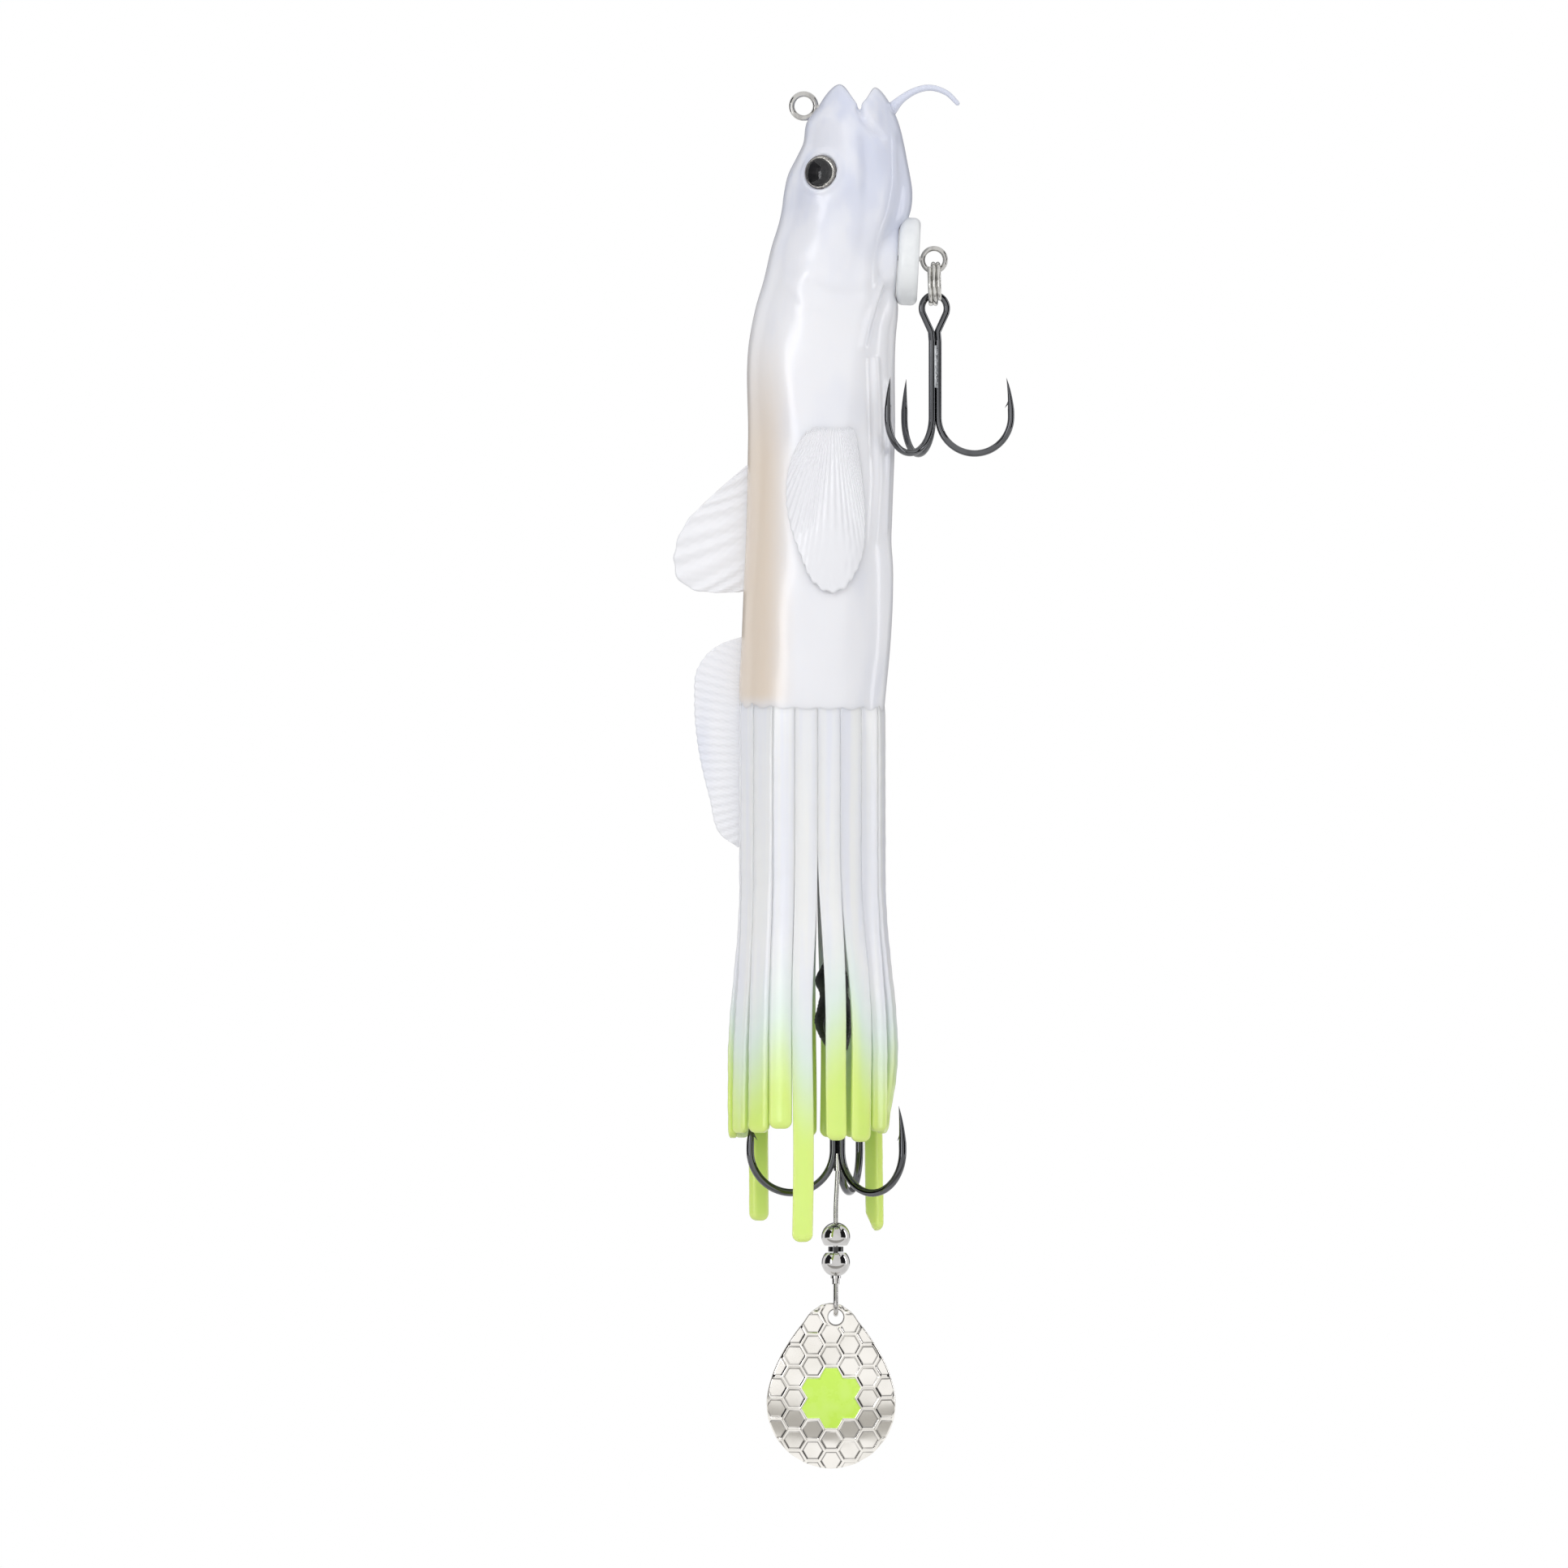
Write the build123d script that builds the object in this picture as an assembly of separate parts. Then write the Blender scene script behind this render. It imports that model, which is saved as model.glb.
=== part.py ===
from build123d import *
import math
import os

os.makedirs("parts", exist_ok=True)

# A soft swimbait in the shape of a burbot, hung nose up. Millimetres; +Z is up, +X is the belly side,
# and the origin is the centre of the line tie's eye.

# Gap between pieces that move against each other
CLEARANCE = 0.3

# Overlap that makes two touching forms one solid
OVERLAP = 0.02

# How far a cutting form runs past the piece that it cuts
CUT_REACH = 40.0

# Body: height, back, belly and half width at each station, nose first
BODY_STATIONS = [
    (5.0, 8.6, 18.4, 2.6),
    (3.2, 5.9, 20.6, 6.0),
    (0.0, 3.3, 22.9, 9.2),
    (-5.0, 1.0, 25.2, 11.6),
    (-11.0, -0.4, 26.4, 12.9),
    (-17.4, -3.6, 27.4, 14.4),
    (-23.0, -5.0, 28.1, 15.0),
    (-30.0, -6.2, 26.6, 15.0),
    (-36.0, -8.0, 23.8, 15.1),
    (-44.0, -10.2, 23.5, 15.3),
    (-52.0, -12.7, 24.4, 15.6),
    (-60.0, -14.2, 23.8, 15.8),
    (-86.0, -14.4, 23.6, 15.9),
    (-113.0, -15.0, 22.8, 15.5),
    (-138.0, -16.1, 22.5, 14.7),
    (-156.0, -16.7, 20.9, 14.2),
]
BODY_END = BODY_STATIONS[-1][0]
BODY_STEP = 9.0
MOUTH = [(10.9, 6.0), (14.3, -0.7), (17.3, 6.0)]

# Line tie: a wire eye with two legs that run down into the head core
TIE_RADIUS = 3.1
TIE_WIRE = 0.72
TIE_LEG_SPREAD = 1.5
TIE_LEG_LENGTH = 15.0
TIE_LEG_SLOPE = 30.0

# Head core: height, centre, half depth and half width
CORE_STATIONS = [(-5.5, 12.0, 6.0, 5.5), (-25.0, 11.5, 10.5, 9.0), (-52.0, 6.0, 10.5, 9.0)]
WEIGHT_RADIUS = 5.0
WEIGHT_X = 14.0
WEIGHT_TOP, WEIGHT_BOTTOM = -64.0, -96.0

# Wire harness and tail leader
HARNESS_RADIUS = 0.8
HARNESS_BEND = 14.0
HARNESS_ROUTE = [(9.0, 0, -44.0), (4.6, 0, -62.0), (4.6, 0, -128.0), (7.6, 0, -142.0), (7.6, 0, -153.0)]
LEADER_X = 7.6
LEADER_RADIUS = 0.75
LEADER_END = -219.0
LOOP_RADIUS = 2.05
LOOP_FOOT = -228.0
LOOP_GRIP_RISE, LOOP_GRIP_DROP = 2.0, 0.3

# Half the gap between the two legs of a wire eye at its foot
FOOT_GAP = 0.03
TAIL_CRIMP_RADIUS = 1.7
TAIL_CRIMP_TOP, TAIL_CRIMP_BOTTOM = -149.0, -159.5

# Eyes
EYE_CENTRE = (4.2, 12.7, -17.4)
EYE_FACING = (-0.42, 0.90, 0.10)
EYE_RADIUS = 4.2
EYE_DEPTH = 1.6
FOIL_THICKNESS = 0.5
PUPIL_RADIUS = 3.15
PUPIL_THICKNESS = 0.4
LENS_DOME = 7.0
LENS_HEIGHT = 1.3

# Chin barbel
BARBEL_BASE = (23.9, 0, 1.3)
BARBEL_TOP = (33.0, 0, 5.2)
BARBEL_TIP = (40.0, 0, 0.6)
BARBEL_ROOT_RADIUS, BARBEL_TIP_RADIUS = 1.2, 0.55
BARBEL_STEPS = 5

# Belly disc, its screw eye and insert
DISC_CENTRE = (27.1, 0, -40.2)
DISC_RADIUS = 11.35
DISC_THICKNESS = 5.4
DISC_EDGE = 1.7
DISC_TILT = 3.0
SEAT_RADIUS = 7.0
SEAT_DEPTH = 5.0
SCREW_EYE_CENTRE = (33.7, 0, -39.8)
SCREW_EYE_RADIUS = 2.95
SCREW_EYE_WIRE = 0.65
SCREW_EYE_LENGTH = 19.0
INSERT_RADIUS = 2.2
INSERT_LENGTH = 6.0

# Belly split ring: two coils side by side
RING_X = 33.8
RING_RADIUS = 5.15
RING_WIRE = 0.62
RING_TOP = -40.85
RING_CENTRE = RING_TOP - RING_RADIUS
RING_BOTTOM = RING_CENTRE - RING_RADIUS

# Treble hooks, sized for the belly and a size larger at the rear. Shank and braze values count in
# wire radii
HOOK_WIRE = 0.85
HOOK_SPREAD = 20.0
HOOK_EYE_RADIUS = 3.5
HOOK_SHANK_TOP = 10.4
SHANK_SPACING = 1.23
SHANK_SETTLE = 3.0
BRAZE_RADIUS, BRAZE_DROP = 1.55, 1.2
HOOK_BRAZE_END = 24.0
HOOK_BEND_BOTTOM = 41.9
HOOK_POINT_DROP = 21.5
HOOK_TIP_LENGTH = 8.4
HOOK_LEAN_RUN, HOOK_LEAN_SHIFT = 1.5, 0.094
HOOK_TIP_SLOPE = math.tan(2 * math.atan(HOOK_LEAN_SHIFT / HOOK_LEAN_RUN))
HOOK_TIP_RADIUS = 0.1
BARB_TOP, BARB_BOTTOM = 6.3, 8.6
BARB_ROOT, BARB_REACH = 0.45, 1.6
BELLY_HOOK_TOP = RING_BOTTOM + 2.3
BELLY_HOOK_TURNS = (232.5, 352.5, 112.5)
REAR_HOOK_SCALE = 1.155
REAR_HOOK_X = 8.9
REAR_HOOK_TOP = -233.68
REAR_HOOK_TURNS = (76.0, 190.0, -44.0)

# Heat-shrink sleeve: height, long and short half widths, long way turned with the hook's eye
SLEEVE_TURN = 43.0
SLEEVE_STATIONS = [
    (-220.4, 1.6, 1.5),
    (-222.5, 2.6, 2.5),
    (-226.6, 4.2, 4.0),
    (-229.6, 3.7, 3.3),
    (-232.5, 4.3, 3.0),
    (-237.2, 5.9, 3.1),
    (-240.2, 5.0, 2.9),
    (-243.9, 3.0, 2.4),
]

# Spinner wire, bead and swivel
FERRULE_RADIUS = 1.1
FERRULE_TOP, FERRULE_BOTTOM = -271.0, -275.5
SPINNER_WIRE_TOP = -273.4
SPINNER_WIRE_KNEE = -285.0
SPINNER_WIRE_BEND = 40.0
SPINNER_X = 8.3
SPINNER_WIRE = 0.6
BEAD_RADIUS = 3.7
BEAD_Z = -292.5
COLLAR_RADIUS = 1.95
COLLAR_TOP, COLLAR_BOTTOM = -295.1, -296.4
SWIVEL_RADIUS = 3.65
SWIVEL_Z = -299.2
PIN_HEAD_RADIUS = 1.6
PIN_HEAD_TOP, PIN_HEAD_BOTTOM = SWIVEL_Z + 0.2, SWIVEL_Z - 0.9
SHAFT_GAP = 0.25
NECK_RADIUS = 1.3
NECK_BOTTOM = -303.3
LINK_RADIUS = 2.6
LINK_WIRE = 0.63
LINK_BOTTOM = -312.6
LINK_STEM = -304.8
LINK_STEM_RADIUS = 0.95
LINK_STEM_DEPTH = 1.0

# Colorado blade: height and half width, then the dish
BLADE_X = 7.1
BLADE_TOP, BLADE_BOTTOM = -309.7, -352.8
BLADE_OUTLINE = [
    (-311.0, 3.7),
    (-315.0, 7.5),
    (-323.2, 13.0),
    (-329.0, 15.5),
    (-335.5, 16.7),
    (-341.8, 15.6),
    (-346.5, 12.9),
    (-350.2, 8.6),
]
BLADE_THICKNESS = 0.8
BLADE_DISH = 60.0
BLADE_DISH_Z = -331.0
BLADE_HOLE_Z = -313.3
BLADE_HOLE_RADIUS = 1.95
BLADE_LEAN = 3.6
HEX_PITCH = 5.5
DECAL_Z = -334.1
DECAL_THICKNESS = 0.12

# Skirt: strands slit from the tail, even round an ellipse
STRAND_COUNT = 17
STRAND_THICKNESS = 2.4
STRAND_SLIT = 0.45
KNUCKLE_INSET = 0.05
SKIRT_CENTRE = 2.1
SKIRT_DEPTH, SKIRT_WIDTH = 18.8, 14.2
STRAND_HINGE = BODY_END - CLEARANCE - STRAND_THICKNESS / 2
STRAND_KNEE = -205.0
STRAND_FLARE_Z = -245.0
STRAND_FLARE = 2.6
STRAND_END = -267.0
STRAND_TIP = 1.9
STRAND_ENDS = {
    0: -265.4,
    1: -290.5,
    5: -263.0,
    6: -289.4,
    9: -265.6,
    10: -265.5,
    11: -264.4,
    12: -294.0,
    15: -265.2,
    16: -265.8,
}
STRAND_DRIFT = {11: -0.3, 12: -0.8, 13: 0.7}
DORSAL_STRAND = 8
TONGUE_END = -192.0
TONGUE_WIDTH = 4.4

# Fins: outlines as (x, z) from the root outwards
FIN_HALF_THICKNESS = 0.7
FIRST_DORSAL_ROOT = [(-15.6, -93.2), (-16.7, -125.0)]
FIRST_DORSAL_EDGE = [
    (-18.4, -125.6),
    (-25.1, -125.9),
    (-30.2, -124.8),
    (-32.9, -121.0),
    (-33.7, -117.6),
    (-31.8, -109.5),
    (-22.8, -100.2),
]
SECOND_DORSAL_ROOT = [(-17.8, -138.0), (-17.8, -191.6)]
SECOND_DORSAL_EDGE = [
    (-19.0, -191.4),
    (-21.9, -188.2),
    (-24.6, -178.1),
    (-27.7, -164.5),
    (-28.4, -152.9),
    (-27.3, -144.8),
    (-23.8, -141.2),
]
PECTORAL_OUTLINE = [
    (8.3, -77.6),
    (0.6, -83.6),
    (-3.6, -94.6),
    (-4.5, -102.3),
    (-3.2, -117.0),
    (0.6, -124.1),
    (7.0, -126.2),
    (12.4, -122.6),
    (15.4, -112.6),
    (14.7, -96.0),
    (12.0, -80.6),
    (11.0, -77.6),
]
PECTORAL_ROOT = (9.7, 16.75, -77.2)
PECTORAL_ROOT_HALF = 1.2
PECTORAL_ROOT_RADIUS = 0.7
PECTORAL_THICKNESS = 1.2

# The flank that the fin is bent round: centre, then depth and width
PECTORAL_MIDDLE = (4.35, -102.0)
PECTORAL_BEND = (19.9, 16.75)

UPWARD = (Align.CENTER, Align.CENTER, Align.MIN)


def rod(start, end, radius):
    """A round bar between two points."""
    along = Vector(*end) - Vector(*start)
    return Plane(start, z_dir=along) * Cylinder(radius, along.length, align=UPWARD)


def upright(x, low, high, radius):
    """A round bar that stands on the object's middle plane."""
    return rod((x, 0, low), (x, 0, high), radius)


def swept_wire(path, radius):
    """A round wire along a smooth path."""
    return sweep(Plane(path @ 0, z_dir=path % 0) * Circle(radius), path=path)


def coil(centre, normal, mean_radius, wire_radius):
    """A closed round of wire."""
    return Plane(centre, z_dir=normal) * Torus(mean_radius, wire_radius)


def ellipse_at(x, z, depth, width):
    """A level elliptical section."""
    return Plane((x, 0, z)) * Ellipse(depth, width)


def side_plate(points, half_thickness):
    """A flat plate on the middle plane, cut to straight edges."""
    outline = Plane.XZ * make_face(Polyline(*points, close=True))
    return extrude(outline, amount=half_thickness, both=True)


def mirrored(shape):
    """The same piece on the other flank."""
    return mirror(shape, about=Plane.XZ)


def along_disc():
    """The way the belly disc faces."""
    tilt = math.radians(DISC_TILT)
    return Vector(math.cos(tilt), 0, -math.sin(tilt))


# ---- head hardware ----


def line_tie():
    """The nose eye: a round of wire whose two legs slope back into the head core."""
    slope = math.radians(-TIE_LEG_SLOPE)
    along = Vector(math.cos(slope), 0, math.sin(slope))
    across = Vector(math.sin(slope), 0, -math.cos(slope)) * TIE_LEG_SPREAD
    start = along * math.sqrt(TIE_RADIUS**2 - TIE_LEG_SPREAD**2)
    tie = coil((0, 0, 0), (0, 1, 0), TIE_RADIUS, TIE_WIRE)
    for side in (1, -1):
        foot = start + across * side
        tie += rod(foot, foot + along * TIE_LEG_LENGTH, TIE_WIRE)
    return tie


def core_blank():
    """The rigid insert that anchors the line tie and the belly disc's eye."""
    return loft([ellipse_at(x, z, depth, width) for z, x, depth, width in CORE_STATIONS])


def harness_wire():
    """The wire that joins the head core to the tail."""
    path = FilletPolyline(*HARNESS_ROUTE, radius=HARNESS_BEND)
    return swept_wire(path, HARNESS_RADIUS)


def tail_crimp_blank():
    """The crimp tube that holds harness and leader end to end."""
    return upright(LEADER_X, TAIL_CRIMP_BOTTOM, TAIL_CRIMP_TOP, TAIL_CRIMP_RADIUS)


def leader():
    """The flexible wire from the tail crimp to the sleeve."""
    return upright(LEADER_X, LEADER_END, HARNESS_ROUTE[-1][2], LEADER_RADIUS)


def belly_weight():
    """A round-ended lead ballast low in the chest."""
    weight = upright(WEIGHT_X, WEIGHT_BOTTOM, WEIGHT_TOP, WEIGHT_RADIUS)
    for z in (WEIGHT_BOTTOM, WEIGHT_TOP):
        weight += Pos(WEIGHT_X, 0, z) * Sphere(WEIGHT_RADIUS)
    return weight


def disc_blank():
    """The round plastic disc under the chin."""
    disc = Plane(DISC_CENTRE, z_dir=along_disc()) * Cylinder(DISC_RADIUS, DISC_THICKNESS)
    return fillet(disc.edges().filter_by(GeomType.CIRCLE), DISC_EDGE)


def disc_seat():
    """The soft boss that the disc is screwed down on."""
    back = Vector(*DISC_CENTRE) - along_disc() * (DISC_THICKNESS / 2)
    return rod(back - along_disc() * SEAT_DEPTH, back, SEAT_RADIUS)


def screw_eye():
    """The belly eye, with the shank that screws into the insert."""
    centre = Vector(*SCREW_EYE_CENTRE)
    start = centre - along_disc() * SCREW_EYE_RADIUS
    end = centre - along_disc() * SCREW_EYE_LENGTH
    eye = coil(SCREW_EYE_CENTRE, (0, 1, 0), SCREW_EYE_RADIUS, SCREW_EYE_WIRE)
    return eye + rod(start, end, SCREW_EYE_WIRE)


def insert_blank():
    """The brass insert in the core that takes the screw eye."""
    end = Vector(*SCREW_EYE_CENTRE) - along_disc() * SCREW_EYE_LENGTH
    return rod(end, end + along_disc() * INSERT_LENGTH, INSERT_RADIUS)


# ---- eyes ----


def eye_frame():
    """The left eye's own frame, with Z out of the head."""
    return Plane(EYE_CENTRE, z_dir=EYE_FACING)


def eye_layer(radius, low, high):
    """A flat round layer of the eye."""
    return eye_frame() * Pos(0, 0, low) * Cylinder(radius, high - low, align=UPWARD)


def eye_pieces():
    """Foil, pupil and clear lens of the left eye."""
    foil_top = FOIL_THICKNESS - EYE_DEPTH
    foil = eye_layer(EYE_RADIUS, -EYE_DEPTH, foil_top)
    pupil = eye_layer(PUPIL_RADIUS, foil_top, foil_top + PUPIL_THICKNESS)
    dome = eye_frame() * Pos(0, 0, LENS_HEIGHT - LENS_DOME) * Sphere(LENS_DOME)
    lens = (eye_layer(EYE_RADIUS, foil_top, LENS_DOME) & dome) - pupil
    return {"foil": foil, "pupil": pupil, "lens": lens}


def eye_socket():
    """The round recess that the left eye sits in."""
    return eye_layer(EYE_RADIUS, -EYE_DEPTH, CUT_REACH)


# ---- body ----


def body_form():
    """The moulded outer shape, with sections added where the stations stand far apart."""
    sections = []
    for upper, lower in zip(BODY_STATIONS, BODY_STATIONS[1:] + BODY_STATIONS[-1:]):
        steps = max(1, round((upper[0] - lower[0]) / BODY_STEP))
        for step in range(steps):
            share = step / steps
            z, back, belly, width = (a + (b - a) * share for a, b in zip(upper, lower))
            sections.append(ellipse_at((back + belly) / 2, z, (belly - back) / 2, width))
    return loft(sections)


def tongue():
    """The strip of moulding under the second dorsal fin, down past the slit tops."""
    outer = SKIRT_CENTRE - SKIRT_DEPTH
    plate = Pos(outer + STRAND_THICKNESS / 2, 0, (BODY_END + TONGUE_END) / 2)
    return plate * Box(STRAND_THICKNESS, TONGUE_WIDTH, BODY_END - TONGUE_END)


def body_moulding(inner_pieces):
    """The soft body, cast round everything that it holds."""
    body = body_form() + disc_seat() + tongue()
    body -= side_plate(MOUTH, CUT_REACH)
    body -= eye_socket()
    body -= mirrored(eye_socket())
    for piece in inner_pieces:
        body -= piece
    return body


# ---- fins and barbel ----


def chin_barbel():
    """A soft feeler that tapers along one arc."""
    path = ThreePointArc(BARBEL_BASE, BARBEL_TOP, BARBEL_TIP)
    sections = []
    for step in range(BARBEL_STEPS + 1):
        place = step / BARBEL_STEPS
        radius = BARBEL_ROOT_RADIUS + (BARBEL_TIP_RADIUS - BARBEL_ROOT_RADIUS) * place
        sections.append(Plane(path @ place, z_dir=path % place) * Circle(radius))
    return loft(sections) + Pos(*BARBEL_BASE) * Sphere(BARBEL_ROOT_RADIUS)


def dorsal_fin(root, edge):
    """A thin fin on the back, with a round root to fold about."""
    fin = side_plate(root + edge, FIN_HALF_THICKNESS)
    ends = [(x, 0, z) for x, z in root]
    return fin + rod(ends[0], ends[1], FIN_HALF_THICKNESS)


def pectoral_fin():
    """The left pectoral fin, curved to lie along the flank."""
    outline = Plane.XZ * make_face(Polyline(*PECTORAL_OUTLINE, close=True))
    blank = extrude(outline, amount=-CUT_REACH)
    depth, width = PECTORAL_BEND
    flank = ellipse_at(*PECTORAL_MIDDLE, depth, width)
    face = ellipse_at(*PECTORAL_MIDDLE, depth + PECTORAL_THICKNESS, width + PECTORAL_THICKNESS)
    blade = blank & extrude(face - flank, amount=CUT_REACH, both=True)
    x, y, z = PECTORAL_ROOT
    return blade + rod((x - PECTORAL_ROOT_HALF, y, z), (x + PECTORAL_ROOT_HALF, y, z), PECTORAL_ROOT_RADIUS)


# ---- skirt ----


def skirt_line():
    """The ellipse through the middle of the strands."""
    half = STRAND_THICKNESS / 2
    return Edge.make_ellipse(SKIRT_DEPTH - half, SKIRT_WIDTH - half)


def skirt_place(fraction):
    """Point, outward way and round way at a share of the ellipse's length."""
    line = skirt_line()
    length = (fraction % 1) * line.length
    round_way = line.tangent_at(length, position_mode=PositionMode.LENGTH)
    point = line.position_at(length, position_mode=PositionMode.LENGTH) + Vector(SKIRT_CENTRE, 0, 0)
    return point, Vector(round_way.Y, -round_way.X, 0), round_way


def strand_middle(number):
    """Where a strand sits round the skirt; the dorsal strand is straight behind the back."""
    return 0.5 + (number - DORSAL_STRAND) / STRAND_COUNT


def strand_corners(number):
    """The strand's four corners, from the slits on each side of it."""
    corners = []
    half = STRAND_THICKNESS / 2
    for side, faces in ((-1, (1, -1)), (1, (-1, 1))):
        place = strand_middle(number) + side * 0.5 / STRAND_COUNT
        point, outward, round_way = skirt_place(place)
        for face in faces:
            corners.append(point + outward * (face * half) - round_way * (side * STRAND_SLIT / 2))
    return [corners[1], corners[0], corners[3], corners[2]]


def strand(number):
    """A soft strand: straight to its knee, then flared outwards, with a rounded tip."""
    top = TONGUE_END - CLEARANCE - STRAND_THICKNESS / 2 if number == DORSAL_STRAND else STRAND_HINGE
    end = STRAND_ENDS.get(number, STRAND_END)
    drift = STRAND_DRIFT.get(number, 0)
    middle, outward, round_way = skirt_place(strand_middle(number))
    corners = strand_corners(number)
    levels = [(top, 0), (STRAND_KNEE, 0), (STRAND_FLARE_Z, 1), (end, 1)]
    sections = []
    for z, share in levels:
        lift = outward * (STRAND_FLARE * share) + Vector(drift * share, 0, z)
        sections.append(make_face(Polyline(*[(corner + lift) for corner in corners], close=True)))
    body = loft(sections, ruled=True)
    tip_edges = body.faces().sort_by(Axis.Z)[0].edges().sort_by(SortBy.LENGTH)[:2]
    body = fillet(tip_edges, STRAND_TIP)
    width = (corners[0] - corners[3]).length - 2 * KNUCKLE_INSET
    knuckle = Plane(middle + Vector(0, 0, top), z_dir=round_way) * Cylinder(STRAND_THICKNESS / 2, width)
    return body + knuckle


# ---- hooks and rings ----


def split_ring():
    """Two coils of one wire, side by side."""
    ring = coil((RING_X - RING_WIRE, 0, RING_CENTRE), (1, 0, 0), RING_RADIUS, RING_WIRE)
    return ring + coil((RING_X + RING_WIRE - OVERLAP, 0, RING_CENTRE), (1, 0, 0), RING_RADIUS, RING_WIRE)


class Treble:
    """A treble hook's sizes at a scale, with its eye's top wire at a height."""

    def __init__(self, x, top, scale, turns):
        self.x, self.top, self.scale, self.turns = x, top, scale, turns
        self.eye_turn = (turns[0] + turns[1]) / 2 - 90
        self.wire = HOOK_WIRE * scale
        self.spread = HOOK_SPREAD * scale
        self.eye_radius = HOOK_EYE_RADIUS * scale
        self.shank_radius = SHANK_SPACING * self.wire
        self.shank_top = top - (HOOK_SHANK_TOP - HOOK_WIRE) * scale
        self.settle = self.shank_top - SHANK_SETTLE * self.wire
        self.braze_end = top - HOOK_BRAZE_END * scale
        self.bend_bottom = top - (HOOK_BEND_BOTTOM - HOOK_WIRE) * scale
        self.point = top - HOOK_POINT_DROP * scale
        self.tip_length = HOOK_TIP_LENGTH * scale
        self.lean_run, self.lean_shift = HOOK_LEAN_RUN * scale, HOOK_LEAN_SHIFT * scale

    def tip_place(self, drop):
        """Where the tip's centre line stands, a drop below the point."""
        inwards = self.lean_shift + HOOK_TIP_SLOPE * (self.tip_length - drop)
        return self.spread - inwards, self.point - drop


def upright_plane(x, turn):
    """A vertical plane through a hook's axis: X outwards, Y up."""
    cosine, sine = math.cos(math.radians(turn)), math.sin(math.radians(turn))
    return Plane((x, 0, 0), x_dir=(cosine, sine, 0), z_dir=(sine, -cosine, 0))


def cone_between(frame, start, end, root_radius, tip_radius):
    """A round taper between two points of an upright plane."""
    foot, head = (frame.from_local_coords((x, y, 0)) for x, y in (start, end))
    along = head - foot
    return Plane(foot, z_dir=along) * Cone(root_radius, tip_radius, along.length, align=UPWARD)


def hook_wire(treble, turn, start):
    """One hook: shank, round bend, and a leg that leans in to its tapered tip and barb."""
    near, far = treble.shank_radius, treble.spread
    bend = (far - near) / 2
    bend_z = treble.bend_bottom + bend
    leg_top = treble.point - treble.tip_length
    shank = Line((near, start), (near, bend_z))
    curve = ThreePointArc((near, bend_z), (near + bend, bend_z - bend), (far, bend_z))
    lean_foot = (far, leg_top - treble.lean_run)
    leg = Line((far, bend_z), lean_foot)
    lean = TangentArc(lean_foot, (far - treble.lean_shift, leg_top), tangent=(0, 1))
    frame = upright_plane(treble.x, turn)
    wire = swept_wire(frame * (shank + curve + leg + lean), treble.wire)
    tip_foot, point = treble.tip_place(treble.tip_length), treble.tip_place(0)
    wire += cone_between(frame, tip_foot, point, treble.wire, HOOK_TIP_RADIUS)
    barb_start = treble.tip_place(BARB_TOP * treble.scale)
    barb_end = (far - BARB_REACH * treble.scale, treble.point - BARB_BOTTOM * treble.scale)
    return wire + cone_between(frame, barb_start, barb_end, BARB_ROOT * treble.scale, HOOK_TIP_RADIUS)


def teardrop(frame, radius, top, foot_half, foot, wire):
    """A wire eye: a round top whose two legs run tangent to a close pair of feet."""
    centre = top - radius
    drop = centre - foot
    reach = math.hypot(foot_half, drop)
    touch = math.atan2(-drop, foot_half) + math.acos(radius / reach)
    side = (radius * math.cos(touch), centre + radius * math.sin(touch))
    right = Line((foot_half, foot), side)
    crown = ThreePointArc(side, (0, top), (-side[0], side[1]))
    left = Line((-side[0], side[1]), (-foot_half, foot))
    return swept_wire(frame * (right + crown + left), wire)


def treble_double(treble):
    """Two hooks bent from one wire that also forms the eye."""
    frame = upright_plane(treble.x, treble.eye_turn)
    foot_half = treble.shank_radius * math.sin(math.radians(60))
    pair = teardrop(frame, treble.eye_radius, treble.top, foot_half, treble.shank_top, treble.wire)
    for turn, side in zip(treble.turns[:2], (1, -1)):
        foot = frame.from_local_coords((side * foot_half, treble.shank_top, 0))
        landing = upright_plane(treble.x, turn).from_local_coords((treble.shank_radius, treble.settle, 0))
        pair += rod(foot, landing, treble.wire)
        pair += Pos(foot) * Sphere(treble.wire)
        pair += Pos(landing) * Sphere(treble.wire)
        pair += hook_wire(treble, turn, treble.settle)
    return pair


def treble_pieces(treble):
    """The double hook, the single hook and the braze between their shanks."""
    double = treble_double(treble)
    single = hook_wire(treble, treble.turns[2], treble.settle)
    braze_top = treble.settle - BRAZE_DROP * treble.wire
    braze = upright(treble.x, treble.braze_end, braze_top, BRAZE_RADIUS * treble.wire)
    return {"double": double, "single": single, "braze": braze - double - single}


# ---- rear rig ----


def leader_loop():
    """The leader's lower end: a closed loop through the rear hook's eye."""
    frame = upright_plane(REAR_HOOK_X, SLEEVE_TURN - 90)
    low = REAR_HOOK_TOP - LOOP_RADIUS
    upturned = teardrop(frame, LOOP_RADIUS, -low, LEADER_RADIUS, -LOOP_FOOT, LEADER_RADIUS - FOOT_GAP)
    loop = mirror(upturned, about=Plane.XY)
    foot = LOOP_FOOT - LOOP_GRIP_DROP
    stem = rod((LEADER_X, 0, LEADER_END - CLEARANCE), (REAR_HOOK_X, 0, foot), LEADER_RADIUS)
    grip = upright(REAR_HOOK_X, foot, LOOP_FOOT + LOOP_GRIP_RISE, 2 * LEADER_RADIUS)
    return stem + loop + grip


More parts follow.
